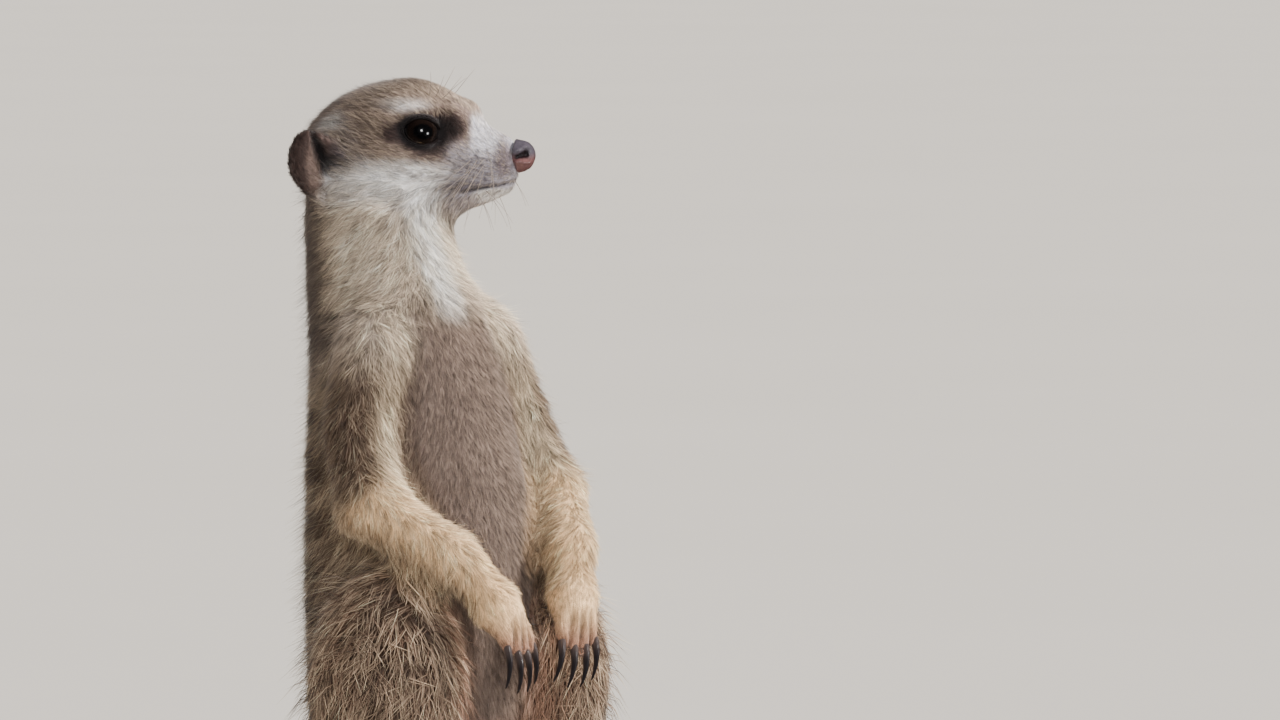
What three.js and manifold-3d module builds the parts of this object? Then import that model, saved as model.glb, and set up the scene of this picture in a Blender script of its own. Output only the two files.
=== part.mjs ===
// A life-size meerkat standing upright as a sentry, modelled to the tips of its coat.
// Units are millimetres and +Z is up. The belly faces -Y, and the animal's own left is +X.
//
// Each limb, the trunk, the head, the ears and the tail are fields, negative inside the coat. They
// melt into one body. A point of that body goes to the field it lies deepest in, and cuts at the
// joints divide the long ones further, so every sub-part meets its neighbours at a thin seam.
import * as THREE from "three";
import { mergeVertices } from "three/addons/utils/BufferGeometryUtils.js";
import Module from "manifold-3d";

const wasm = await Module();
wasm.setup();

// ---------------------------------------------------------------- driving dimensions

const STAND_SHIFT = [0, -63, 0]; // from the body's own axis to the middle of its footprint
const SEAM = 0.5; // width of the gap at a plane cut
const CURVED_SEAM = 0.2; // width at a curved one for each mm of facet, as facets stray from it
const SIDES = { right: -1, left: 1 };

// The head has its own frame: forward, to the left and up, from the middle of the skull.
const HEAD_AT = [4, 26.7, 286];
const HEAD_TURN = 35; // degrees, to the animal's left
const HEAD_PITCH = 0; // degrees, nose down

// Stations along the trunk and neck: height, front, back, half width.
const TRUNK = [
  [70, -4, 22, 11],
  [82, -16, 31, 24],
  [95, -24, 35, 31],
  [110, -29, 39, 34.5],
  [130, -32, 41, 36],
  [150, -32.5, 42, 36.5],
  [170, -31, 42, 36],
  [190, -26.5, 42, 34.5],
  [205, -22.5, 41.5, 33],
  [220, -18.5, 41.5, 31.5],
  [233, -14, 42.8, 29.5],
  [245, -8.5, 45, 26],
  [256, -3.5, 47, 23.5],
  [266, 1, 48.5, 22],
  [276, 6, 47.4, 20.5],
];
const NECK_Z = 243;
const WAIST_Z = 188;
const HIP_Z = 112;

// Stations along the head: forward, bottom, top, half width.
const HEAD = [
  [-22.5, -12, 8.4, 13],
  [-18.5, -18, 12.2, 17],
  [-11, -22.5, 17.6, 20.5],
  [-3, -24, 21.6, 22],
  [6, -23.5, 23.6, 22.5],
  [14, -22.6, 23, 21],
  [20, -20.8, 20.8, 17.8],
  [25, -19.4, 17.8, 14.6],
  [30, -17.6, 13.6, 11.6],
  [34.5, -15.8, 8.8, 9.4],
  [38.5, -14, 6.6, 7.8],
  [41.5, -11.8, 5.2, 6.2],
  [43.2, -8.6, 3.6, 4.6],
];
const BRAINCASE = { at: [-4, 0, -2], size: [17.5, 20, 20.5] };
const BROW = { at: [23.6, 7.5, 12], size: [7.9, 5.5, 5.2] };
const CHEEK = { at: [2, 12.5, -11], size: [17, 10.5, 12.5] };
const WHISKER_PAD = { at: [34, 4.6, -5], size: [7, 4.6, 5] };
const NOSE = { at: [44.2, 0, -0.9], size: [4.9, 5, 5.3] };
const EYE = { at: [15.2, 12.9, 7], radius: 6.5, gap: 0.35 };
const MOUTH = { corner: [20, 0, -15], rise: 0.24 }; // the lips rise this much for each mm forward
const EAR = {
  at: [-17.3, 20.6, -2.2],
  size: [8.3, 4.3, 11.6],
  bowlAt: [-13, 24, -3.5],
  bowl: [4.6, 3.8, 7.6],
  lean: 12, // degrees, the top edge outward
};

// Limb joints of the left side, as [x, y, z, radius of the coat].
const SHOULDER = [24, 0, 228, 13];
const UPPER_ARM = [33, -3, 203, 12];
const ELBOW = [39.5, -13.5, 181, 11];
const FOREARM = [24.5, -36.5, 165, 9.2];
const WRIST = [16.5, -45.5, 151.5, 7.2];
const PALM = [14, -49, 145.5, 6.6];
const HAUNCH = { at: [31, -13, 124], size: [24, 27, 40] };
const THIGH = [32, -16, 98, 20];
const KNEE = [34, -26, 70, 13.5];
const CALF = [31.5, -7, 44, 11];
const ANKLE = [28, 11, 19, 7.8];
const HEEL = [27, 14, 7.4, 8.3];
const INSTEP = [29, -8, 8.6, 8.2];
const BALL = [31, -28, 6.2, 7.2];
const ANKLE_Z = 17;

// Four digits on every hand and foot, from the inner to the outer one.
const FINGERS = {
  root: [13, -50.2, 143.2],
  toward: [-0.1, -0.38, -0.92],
  across: [1, -0.15, 0],
  spread: 3.9,
  fan: 0.05,
  length: [6.5, 8.5, 8.5, 6.5],
  radius: [2.7, 2.2],
};
const TOES = {
  root: [31.2, -31, 4.8],
  toward: [0.06, -1, -0.12],
  across: [1, 0.05, 0],
  spread: 4.4,
  fan: 0.1,
  length: [14, 18, 18, 14.5],
  radius: [3.9, 3.1],
};
// A claw starts this deep in the digit's tip, and this far above its middle.
const FRONT_CLAW = { length: 15.5, radius: 1.45, bend: 60, sunk: 2.4, lift: 0.4, under: [0, 1, 0] };
const HIND_CLAW = { length: 9.5, radius: 1.35, bend: 24, sunk: 2.2, lift: 1.4, under: [0, 0, -1] };

// The tail leaves the rump, props the body and lies along the floor: [x, y, z, radius].
const TAIL = [
  [0, 24, 94, 15],
  [0, 42, 71, 12.6],
  [1, 58, 44, 10.8],
  [3, 73, 20, 9.8],
  [7, 92, 8.4, 9.1],
  [13, 115, 7.5, 8.3],
  [17, 138, 6.7, 7.5],
  [15, 160, 5.8, 6.6],
  [7, 178, 4.7, 5.5],
];
const TAIL_STEPS = 5; // rods between two stations
const TAIL_CUTS = [3, 6]; // the stations where the tail is divided

// How far two neighbours melt into each other.
const MELD = { neck: 7, face: 4, nose: 1.2, ear: 1.5, tail: 6, limb: 4, paw: 3, digit: 1.6 };
const SHOULDER_MELD = { free: 0.8, joined: 9, from: 196, to: 226 };
const HIP_MELD = { free: 0.8, joined: 7, from: 60, to: 92 };

const TAIL_MELD = 0.5; // between the tail's own rods

// Facets along and round an eye, and round and along a claw, whose section is deep and narrow.
const EYE_FACETS = [10, 8];
const CLAW_FACETS = [6, 4];
const CLAW_DEPTH = 1.25;
const CLAW_BREADTH = 0.8;

// Size of the facets of each sub-part.
const FACET = {
  head: 4.4,
  jaw: 3.2,
  nose: 2.2,
  neck: 7.6,
  chest: 8.4,
  belly: 8.2,
  hips: 8.4,
  tail_base: 7.4,
  tail_middle: 7,
  tail_tip: 5.5,
  ear: 3.6,
  upper_arm: 6.5,
  forearm: 6,
  hand: 3.5,
  thigh: 9.4,
  shank: 7.4,
  foot: 5.4,
};

// ---------------------------------------------------------------- fields

const mix = (a, b, t) => a + (b - a) * t;
const clamp = (v, low, high) => Math.min(high, Math.max(low, v));
const smoothstep = (low, high, v) => {
  const t = clamp((v - low) / (high - low), 0, 1);
  return t * t * (3 - 2 * t);
};
const mirror = ([x, y, z, ...rest], side) => [x * side, y, z, ...rest];
const swap = ([f, l, u, ...rest], side) => [f, l * side, u, ...rest];

// A soft union of two distances, rounded over the length k.
const meld = (a, b, k) => {
  const h = Math.max(k - Math.abs(a - b), 0) / k;
  return Math.min(a, b) - h * h * k * 0.25;
};
const union = (k, ...fields) => (x, y, z) =>
  fields.reduce((d, field) => meld(d, field(x, y, z), k), 1e3);

const ball = ([cx, cy, cz], [rx, ry, rz]) => (x, y, z) => {
  const a = (x - cx) / rx;
  const b = (y - cy) / ry;
  const c = (z - cz) / rz;
  const reach = Math.hypot(a, b, c);
  const slope = Math.hypot(a / rx, b / ry, c / rz);
  return slope > 1e-6 ? (reach * (reach - 1)) / slope : -Math.min(rx, ry, rz);
};

// A rod with round ends whose radius changes from one end to the other.
const rod = ([ax, ay, az, ra], [bx, by, bz, rb]) => {
  const dx = bx - ax;
  const dy = by - ay;
  const dz = bz - az;
  const squared = dx * dx + dy * dy + dz * dz || 1;
  return (x, y, z) => {
    const t = clamp(((x - ax) * dx + (y - ay) * dy + (z - az) * dz) / squared, 0, 1);
    return Math.hypot(x - ax - t * dx, y - ay - t * dy, z - az - t * dz) - mix(ra, rb, t);
  };
};
const rods = (k, ...stations) =>
  union(k, ...stations.slice(1).map((station, i) => rod(stations[i], station)));

// Catmull-Rom values between stations, at an even parameter.
function between(stations, steps) {
  const line = [];
  for (let i = 0; i < stations.length - 1; i++) {
    const [p, q, r, s] = [-1, 0, 1, 2].map(
      (n) => stations[clamp(i + n, 0, stations.length - 1)],
    );
    for (let n = 0; n < steps; n++) {
      const t = n / steps;
      line.push(
        q.map(
          (_, c) =>
            0.5 *
            (2 * q[c] +
              (r[c] - p[c]) * t +
              (2 * p[c] - 5 * q[c] + 4 * r[c] - s[c]) * t * t +
              (3 * q[c] - p[c] - 3 * r[c] + s[c]) * t * t * t),
        ),
      );
    }
  }
  return [...line, stations.at(-1)];
}

// A body swept along one axis. A section is an ellipse from low to high, with a half width.
function loft(stations) {
  const line = between(stations, 8);
  const [first, last] = [line[0][0], line.at(-1)[0]];
  return (along, across, aside) => {
    const t = clamp(along, first, last);
    let i = 0;
    while (i < line.length - 2 && line[i + 1][0] < t) i++;
    const share = clamp((t - line[i][0]) / (line[i + 1][0] - line[i][0]), 0, 1);
    const [, low, high, half] = line[i].map((value, c) => mix(value, line[i + 1][c], share));
    const depth = (high - low) / 2;
    const a = (across - (low + high) / 2) / depth;
    const b = aside / half;
    const reach = Math.hypot(a, b);
    const slope = Math.hypot(a / depth, b / half);
    const inside = slope > 1e-6 ? (reach * (reach - 1)) / slope : -Math.min(depth, half);
    const past = Math.max(first - along, along - last);
    return past > 0 ? Math.hypot(Math.max(inside, 0), past) : Math.max(inside, past);
  };
}

// ---------------------------------------------------------------- frames of the head

const turn = THREE.MathUtils.degToRad(HEAD_TURN);
const pitch = THREE.MathUtils.degToRad(HEAD_PITCH);
const FORWARD = new THREE.Vector3(
  Math.sin(turn) * Math.cos(pitch),
  -Math.cos(turn) * Math.cos(pitch),
  -Math.sin(pitch),
);
const LEFTWARD = new THREE.Vector3(Math.cos(turn), Math.sin(turn), 0);
const UPWARD = new THREE.Vector3().crossVectors(FORWARD, LEFTWARD);

const headPoint = ([f, l, u, ...rest]) => {
  const p = new THREE.Vector3(...HEAD_AT)
    .addScaledVector(FORWARD, f)
    .addScaledVector(LEFTWARD, l)
    .addScaledVector(UPWARD, u);
  return [p.x, p.y, p.z, ...rest];
};
const inHead = (field) => (x, y, z) => {
  const dx = x - HEAD_AT[0];
  const dy = y - HEAD_AT[1];
  const dz = z - HEAD_AT[2];
  return field(
    dx * FORWARD.x + dy * FORWARD.y + dz * FORWARD.z,
    dx * LEFTWARD.x + dy * LEFTWARD.y,
    dx * UPWARD.x + dy * UPWARD.y + dz * UPWARD.z,
  );
};

// ---------------------------------------------------------------- shapes

const trunkLoft = loft(TRUNK);
const trunkShape = (x, y, z) => trunkLoft(z, y, x);

const pairOf = ({ at, size }) => Object.values(SIDES).map((side) => ball(swap(at, side), size));
const skullLoft = loft(HEAD);
const headShape = inHead(
  union(
    MELD.face,
    (f, l, u) => skullLoft(f, u, l),
    ball(BRAINCASE.at, BRAINCASE.size),
    ...pairOf(BROW),
    ...pairOf(CHEEK),
    ...pairOf(WHISKER_PAD),
  ),
);
const noseShape = inHead(ball(NOSE.at, NOSE.size));

// An upright shell on the side of the head, and the hollow in its front.
function earShapes(side) {
  const lean = THREE.MathUtils.degToRad(EAR.lean);
  const upright = ball([0, 0, 0], EAR.size);
  const shell = (f, l, u) => {
    const dl = side * l - EAR.at[1];
    const du = u - EAR.at[2];
    const out = dl * Math.cos(lean) - du * Math.sin(lean);
    return upright(f - EAR.at[0], out, dl * Math.sin(lean) + du * Math.cos(lean));
  };
  return { shell: inHead(shell), bowl: inHead(ball(swap(EAR.bowlAt, side), EAR.bowl)) };
}

// Where each digit starts and ends, and which way it points.
function digitLines(side, { root, toward, across, spread, fan, length }) {
  const along = new THREE.Vector3(...mirror(toward, side)).normalize();
  const aside = new THREE.Vector3(...mirror(across, side)).normalize();
  return length.map((reach, i) => {
    const place = i - (length.length - 1) / 2;
    const start = new THREE.Vector3(...mirror(root, side)).addScaledVector(aside, place * spread);
    const way = along.clone().addScaledVector(aside, place * fan).normalize();
    return { start, way, end: start.clone().addScaledVector(way, reach) };
  });
}
const digitShapes = (side, digits) =>
  digitLines(side, digits).map(({ start, end }) =>
    rod([...start.toArray(), digits.radius[0]], [...end.toArray(), digits.radius[1]]),
  );

const ARM = [SHOULDER, UPPER_ARM, ELBOW, FOREARM, WRIST, PALM];
const LEG = [THIGH, KNEE, CALF, ANKLE, HEEL];
const FOOT = [HEEL, INSTEP, BALL];
const chain = (k, stations, side) => rods(k, ...stations.map((station) => mirror(station, side)));

function armShape(side) {
  const arm = chain(MELD.limb, ARM, side);
  const fingers = union(MELD.digit, ...digitShapes(side, FINGERS));
  return (x, y, z) => meld(arm(x, y, z), fingers(x, y, z), MELD.paw);
}
const legShape = (side) =>
  union(
    MELD.limb,
    ball(mirror(HAUNCH.at, side), HAUNCH.size),
    chain(MELD.limb, LEG, side),
    union(MELD.digit, chain(MELD.digit, FOOT, side), ...digitShapes(side, TOES)),
  );
const tailLine = between(TAIL, TAIL_STEPS);
const tailShape = rods(TAIL_MELD, ...tailLine);

// The fields that share the body out among themselves.
const SHAPES = { trunk: trunkShape, head: headShape, nose: noseShape, tail: tailShape };
const BOWLS = [];
for (const [name, side] of Object.entries(SIDES)) {
  const { shell, bowl } = earShapes(side);
  SHAPES[`ear_${name}`] = shell;
  BOWLS.push(bowl);
  SHAPES[`arm_${name}`] = armShape(side);
  SHAPES[`leg_${name}`] = legShape(side);
}

// The whole coat. A limb melts into the trunk at its root, and only touches it further down.
function coat(x, y, z) {
  const at = (name) => SHAPES[name](x, y, z);
  const rooted = ({ free, joined, from, to }) => mix(free, joined, smoothstep(from, to, z));
  let d = meld(at("trunk"), at("head"), MELD.neck);
  d = meld(d, at("nose"), MELD.nose);
  d = meld(d, at("tail"), MELD.tail);
  for (const name of Object.keys(SIDES)) {
    d = meld(d, at(`arm_${name}`), rooted(SHOULDER_MELD));
    d = meld(d, at(`leg_${name}`), rooted(HIP_MELD));
    d = meld(d, at(`ear_${name}`), MELD.ear);
  }
  return Math.max(d, ...BOWLS.map((bowl) => -bowl(x, y, z)));
}
const underground = (x, y, z) => -z;

// ---------------------------------------------------------------- seams

// What lies outside one field's share of the body, half a seam inside its true limit.
function shareOf(name, facet) {
  const own = SHAPES[name];
  const seam = CURVED_SEAM * facet;
  const others = Object.entries(SHAPES).filter(([other]) => other !== name);
  return (x, y, z) =>
    (own(x, y, z) - Math.min(...others.map(([, other]) => other(x, y, z))) + seam) / 2;
}

// Keeps what lies behind a plane through a point, less half a seam.
function behind([px, py, pz], [nx, ny, nz]) {
  const n = Math.hypot(nx, ny, nz);
  return (x, y, z) => ((x - px) * nx + (y - py) * ny + (z - pz) * nz) / n + SEAM / 2;
}
const ahead = (point, normal) => behind(point, normal.map((n) => -n));
const UP = [0, 0, 1];
const level = (z) => [[0, 0, z], UP];

// The plane square to a chain of rods at one of its joints.
function jointOf(stations, i, side) {
  const [before, , after] = [-1, 0, 1].map((n) => mirror(stations[i + n], side));
  const normal = [0, 1, 2].map((c) => after[c] - before[c]);
  return [mirror(stations[i], side), normal];
}

// The plane between the upper head and the lower jaw, through the lips.
function mouthPlane() {
  const origin = headPoint([0, 0, 0]);
  const upright = headPoint([-MOUTH.rise, 0, 1]);
  return [headPoint(MOUTH.corner), upright.map((v, c) => v - origin[c])];
}

// ---------------------------------------------------------------- from fields to solids

const OUTSIDE = 1e6; // the value of a grid's outermost shell

// Samples a field on a grid, outside being positive, with a shell of outside all round.
function sample(field, low, high, step) {
  const size = low.map((v, i) => Math.ceil((high[i] - v) / step) + 1);
  const values = new Float32Array(size[0] * size[1] * size[2]);
  let n = 0;
  for (let k = 0; k < size[2]; k++)
    for (let j = 0; j < size[1]; j++)
      for (let i = 0; i < size[0]; i++) {
        const rim = [i, j, k].some((v, axis) => v === 0 || v === size[axis] - 1);
        const d = field(low[0] + i * step, low[1] + j * step, low[2] + k * step);
        values[n++] = rim ? OUTSIDE : d || 1e-6;
      }
  return { values, size, low, step };
}

// Removes the grid squares whose corners change sign along both diagonals, where the surface
// would touch itself, by joining the corner that is nearest to the surface to its neighbours.
function settle({ values, size }) {
  const stride = [1, size[0], size[0] * size[1]];
  for (let round = 0, changed = true; changed && round < 12; round++) {
    changed = false;
    for (let k = 0; k < size[2] - 1; k++)
      for (let j = 0; j < size[1] - 1; j++)
        for (let i = 0; i < size[0] - 1; i++) {
          const at = i + j * stride[1] + k * stride[2];
          for (let axis = 0; axis < 3; axis++) {
            const [u, v] = [stride[(axis + 1) % 3], stride[(axis + 2) % 3]];
            const corners = [at, at + u, at + u + v, at + v];
            const [a, b, c, d] = corners.map((n) => values[n] < 0);
            if (a !== c || b !== d || a === b) continue;
            const outside = corners.filter((n) => values[n] >= 0);
            values[outside[values[outside[0]] < values[outside[1]] ? 0 : 1]] = -1e-3;
            changed = true;
          }
        }
  }
}

// Moves a point onto a field's zero surface, or a little way towards it.
function pull(field, p, reach) {
  const e = 0.05;
  const d = field(...p);
  const slope = [0, 1, 2].map((axis) => {
    const q = [...p];
    q[axis] += e;
    return (field(...q) - d) / e;
  });
  const squared = slope.reduce((sum, s) => sum + s * s, 0) || 1;
  const move = clamp(d / squared, -reach, reach);
  slope.forEach((s, axis) => (p[axis] -= s * move));
}

const FLOOR_SNAP = 0.3; // what comes this near the floor lies flat on it
const STRAY = 0.7; // share of a facet that a point may leave its first place by
const ROUNDS = 6; // pulls onto each surface

// Moves a point onto all the given surfaces at once, so that a crease comes out sharp.
function settlePoint(fields, p, step) {
  const home = [...p];
  for (let n = 0; n < ROUNDS; n++)
    for (const field of fields) pull(field, p, step / 3);
  const reach = step * STRAY;
  const [x, y, z] = p.map((v, c) => clamp(v, home[c] - reach, home[c] + reach));
  return [x, y, z < FLOOR_SNAP ? 0 : z];
}

// A closed mesh round what is inside all the fields: one vertex in each grid cell that the
// surface crosses, and one quad across each grid edge that it crosses.
function netOf(fields, low, high, step) {
  const inside = (x, y, z) => Math.max(...fields.map((field) => field(x, y, z)));
  const grid = sample(inside, low, high, step);
  settle(grid);
  const { values, size } = grid;
  const stride = [1, size[0], size[0] * size[1]];
  const vertexOf = new Map();
  const positions = [];
  const edges = [];
  for (let axis = 0; axis < 3; axis++)
    for (let corner = 0; corner < 4; corner++) {
      const [u, v] = [(axis + 1) % 3, (axis + 2) % 3];
      const from = [0, 0, 0];
      from[u] = corner & 1;
      from[v] = corner >> 1;
      edges.push({ axis, from });
    }
  for (let k = 0; k < size[2] - 1; k++)
    for (let j = 0; j < size[1] - 1; j++)
      for (let i = 0; i < size[0] - 1; i++) {
        const sum = [0, 0, 0];
        const walls = new Set();
        let crossings = 0;
        for (const { axis, from } of edges) {
          const cell = [i + from[0], j + from[1], k + from[2]];
          const at = cell[0] + cell[1] * stride[1] + cell[2] * stride[2];
          const [a, b] = [values[at], values[at + stride[axis]]];
          if (a < 0 === b < 0) continue;
          cell[axis] += a / (a - b);
          cell.forEach((value, c) => (sum[c] += value));
          const p = cell.map((value, c) => low[c] + value * step);
          const distances = fields.map((field) => field(...p));
          walls.add(fields[distances.indexOf(Math.max(...distances))]);
          crossings++;
        }
        if (!crossings) continue;
        const p = sum.map((value, c) => low[c] + (value / crossings) * step);
        vertexOf.set(i + j * stride[1] + k * stride[2], positions.length / 3);
        positions.push(...settlePoint([...walls], p, step));
      }
  const faces = [];
  for (let axis = 0; axis < 3; axis++) {
    const [u, v] = [(axis + 1) % 3, (axis + 2) % 3];
    const start = [1, 1, 1];
    start[axis] = 0;
    for (let k = start[2]; k < size[2] - 1; k++)
      for (let j = start[1]; j < size[1] - 1; j++)
        for (let i = start[0]; i < size[0] - 1; i++) {
          const at = i + j * stride[1] + k * stride[2];
          const [a, b] = [values[at] < 0, values[at + stride[axis]] < 0];
          if (a === b) continue;
          const quad = [at - stride[u] - stride[v], at - stride[v], at, at - stride[u]].map((n) =>
            vertexOf.get(n),
          );
          if (!a) quad.reverse();
          faces.push(quad);
        }
  }
  return { positions, faces };
}

// Splits each quad along its shorter diagonal.
function trianglesOf({ positions, faces }) {
  const apart = (a, b) =>
    Math.hypot(...[0, 1, 2].map((c) => positions[3 * a + c] - positions[3 * b + c]));
  return faces.flatMap(([a, b, c, d]) =>
    apart(a, c) < apart(b, d) ? [a, b, c, a, c, d] : [b, c, d, b, d, a],
  );
}

const solidOfNet = (net) =>
  new wasm.Manifold(
    new wasm.Mesh({
      numProp: 3,
      vertProperties: new Float32Array(net.positions),
      triVerts: new Uint32Array(trianglesOf(net)),
    }),
  );

function solidOfGeometry(geometry) {
  const bare = geometry.clone();
  bare.deleteAttribute("normal");
  bare.deleteAttribute("uv");
  const merged = mergeVertices(bare, 1e-4);
  return new wasm.Manifold(
    new wasm.Mesh({
      numProp: 3,
      vertProperties: merged.attributes.position.array,
      triVerts: new Uint32Array(merged.index.array),
    }),
  );
}

// A box that holds balls of the given radii round some points.
function boxRound(points, margin) {
  const low = [0, 1, 2].map((c) => Math.min(...points.map((p) => p[c] - p[3])) - margin);
  const high = [0, 1, 2].map((c) => Math.max(...points.map((p) => p[c] + p[3])) + margin);
  return [low, high];
}

// One sub-part of flesh: the coat within its walls, searched for in the box round some points.
function fleshSolid(walls, points, facet) {
  const [low, high] = boxRound(points, 2 * facet);
  return largest(solidOfNet(netOf([coat, ...walls, underground], low, high, facet)));
}

// Leaves out the crumbs that a thin edge can shed.
function largest(solid) {
  return solid.decompose().reduce((best, body) => (body.volume() > best.volume() ? body : best));
}

// ---------------------------------------------------------------- eyes and claws

function eyeGeometry(side, radius) {
  const eyeball = new THREE.SphereGeometry(radius, ...EYE_FACETS);
  return eyeball.translate(...headPoint(swap(EYE.at, side)));
}

// A cone bent along an arc, so that its tip curls towards the palm or sole.
function clawGeometry({ start, way }, claw, swell) {
  const bend = THREE.MathUtils.degToRad(claw.bend);
  const cone = new THREE.ConeGeometry(claw.radius + swell, claw.length, ...CLAW_FACETS);
  const at = cone.attributes.position;
  const aside = new THREE.Vector3(...claw.under).cross(way).normalize();
  const under = new THREE.Vector3().crossVectors(way, aside);
  const arc = claw.length / bend;
  for (let i = 0; i < at.count; i++) {
    const share = at.getY(i) / claw.length + 0.5;
    const angle = bend * share;
    const depth = at.getX(i) * CLAW_DEPTH;
    const p = start
      .clone()
      .addScaledVector(way, Math.sin(angle) * (arc - depth))
      .addScaledVector(under, arc - Math.cos(angle) * (arc - depth))
      .addScaledVector(aside, at.getZ(i) * CLAW_BREADTH);
    at.setXYZ(i, p.x, p.y, p.z);
  }
  return cone;
}

// One claw for each digit, its base sunk into the digit's tip.
const clawsOf = (side, digits, claw) =>
  digitLines(side, digits).map(({ end, way }) => ({
    start: end
      .clone()
      .addScaledVector(way, -claw.sunk)
      .addScaledVector(new THREE.Vector3(...claw.under), -claw.lift),
    way,
  }));

// ---------------------------------------------------------------- materials and assembly

const paint = (color, roughness) =>
  new THREE.MeshStandardMaterial({ color, roughness, metalness: 0 });
const COAT = paint(0xa8957c, 0.95);
const BELLY_COAT = paint(0xa39384, 0.95);
const FACE_COAT = paint(0xb3aca4, 0.95);
const LIMB_COAT = paint(0xc0aa8a, 0.95);
const DARK_COAT = paint(0x3d332e, 0.95);
const NOSE_SKIN = paint(0x5c4643, 0.45);
const EYE_GLOSS = paint(0x160f0c, 0.08);
const CLAW_HORN = paint(0x2b2927, 0.35);

const meerkat = new THREE.Group();
meerkat.position.set(...STAND_SHIFT);

function addMesh(name, geometry, material) {
  const mesh = new THREE.Mesh(geometry, material);
  mesh.name = name;
  meerkat.add(mesh);
}

function geometryOf(solid) {
  const { vertProperties, triVerts } = solid.getMesh();
  const geometry = new THREE.BufferGeometry();
  geometry.setAttribute("position", new THREE.Float32BufferAttribute(vertProperties, 3));
  geometry.setIndex([...triVerts]);
  geometry.computeVertexNormals();
  return geometry;
}

// Cuts the seats of eyes or claws out of the flesh that holds them.
const withSeats = (flesh, seats) =>
  seats.reduce((left, seat) => left.subtract(solidOfGeometry(seat)), flesh);

function addFlesh(name, group, walls, points, material, seats = []) {
  const facet = FACET[name] ?? FACET[name.replace(/_(left|right)$/, "")];
  const flesh = fleshSolid([shareOf(group, facet), ...walls], points, facet);
  addMesh(name, geometryOf(withSeats(flesh, seats)), material);
}

function addTrunk() {
  const widest = Math.max(...TRUNK.slice(1).map(([z], i) => z - TRUNK[i][0]));
  const within = (low, high) =>
    TRUNK.filter(([z]) => z > low - widest && z < high + widest).flatMap(([z, front, back, half]) =>
      Object.values(SIDES).flatMap((side) => [[side * half, front, z, 0], [side * half, back, z, 0]]),
    );
  addFlesh("neck", "trunk", [ahead(...level(NECK_Z))], within(NECK_Z, 280), COAT);
  addFlesh("chest", "trunk", [behind(...level(NECK_Z)), ahead(...level(WAIST_Z))],
    within(WAIST_Z, NECK_Z), COAT);
  addFlesh("belly", "trunk", [behind(...level(WAIST_Z)), ahead(...level(HIP_Z))],
    within(HIP_Z, WAIST_Z), BELLY_COAT);
  addFlesh("hips", "trunk", [behind(...level(HIP_Z))], within(70, HIP_Z), COAT);
}

function addHead() {
  const spread = HEAD.flatMap(([f, low, high, half]) =>
    Object.values(SIDES).flatMap((side) => [
      headPoint([f, side * half, low, 0]),
      headPoint([f, side * half, high, 0]),
    ]),
  );
  const seats = Object.values(SIDES).map((side) => eyeGeometry(side, EYE.radius + EYE.gap));
  addFlesh("head", "head", [ahead(...mouthPlane())], spread, FACE_COAT, seats);
  addFlesh("jaw", "head", [behind(...mouthPlane())], spread, FACE_COAT);
  addFlesh("nose", "nose", [], [headPoint([...NOSE.at, NOSE.size[2]])], NOSE_SKIN);
  for (const [name, side] of Object.entries(SIDES)) {
    addFlesh(`ear_${name}`, `ear_${name}`, [], [headPoint([...swap(EAR.at, side), EAR.size[2]])],
      DARK_COAT);
    addMesh(`eye_${name}`, eyeGeometry(side, EYE.radius), EYE_GLOSS);
  }
}

function addTail() {
  const cuts = TAIL_CUTS.map((i) => jointOf(TAIL, i, 1));
  const [first, second] = TAIL_CUTS;
  addFlesh("tail_base", "tail", [behind(...cuts[0])], TAIL.slice(0, first + 1), COAT);
  addFlesh("tail_middle", "tail", [ahead(...cuts[0]), behind(...cuts[1])],
    TAIL.slice(first, second + 1), COAT);
  addFlesh("tail_tip", "tail", [ahead(...cuts[1])], TAIL.slice(second), DARK_COAT);
}

function addArm(name, side) {
  const elbow = jointOf(ARM, ARM.indexOf(ELBOW), side);
  const wrist = jointOf(ARM, ARM.indexOf(WRIST), side);
  const group = `arm_${name}`;
  const points = ARM.map((station) => mirror(station, side));
  const tips = digitLines(side, FINGERS).map(({ end }) => [...end.toArray(), FINGERS.radius[1]]);
  addFlesh(`upper_arm_${name}`, group, [behind(...elbow)], points.slice(0, 3), COAT);
  addFlesh(`forearm_${name}`, group, [ahead(...elbow), behind(...wrist)], points.slice(2, 5),
    LIMB_COAT);
  addPaw(`hand_${name}`, group, [ahead(...wrist)], [...points.slice(4), ...tips], side, FINGERS,
    FRONT_CLAW);
}

function addLeg(name, side) {
  const knee = level(KNEE[2]);
  const ankle = level(ANKLE_Z);
  const group = `leg_${name}`;
  const haunch = mirror([...HAUNCH.at, HAUNCH.size[2]], side);
  const points = [...LEG, ...FOOT].map((station) => mirror(station, side));
  const tips = digitLines(side, TOES).map(({ end }) => [...end.toArray(), TOES.radius[1]]);
  addFlesh(`thigh_${name}`, group, [ahead(...knee)], [haunch, ...points.slice(0, 2)], COAT);
  addFlesh(`shank_${name}`, group, [behind(...knee), ahead(...ankle)], points.slice(1, 4), COAT);
  addPaw(`foot_${name}`, group, [behind(...ankle)], [...points.slice(4), ...tips], side, TOES,
    HIND_CLAW);
}

function addPaw(name, group, walls, points, side, digits, claw) {
  const places = clawsOf(side, digits, claw);
  const seats = places.map((place) => clawGeometry(place, claw, EYE.gap));
  addFlesh(name, group, walls, points, LIMB_COAT, seats);
  places.forEach((place, i) =>
    addMesh(`${name}_claw_${i + 1}`, clawGeometry(place, claw, 0), CLAW_HORN),
  );
}

addHead();
addTrunk();
addTail();
for (const [name, side] of Object.entries(SIDES)) {
  addArm(name, side);
  addLeg(name, side);
}

export default meerkat;
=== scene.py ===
import math

import bmesh
import bpy
import numpy as np
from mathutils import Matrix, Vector
from mathutils.bvhtree import BVHTree
from mathutils.kdtree import KDTree


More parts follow.
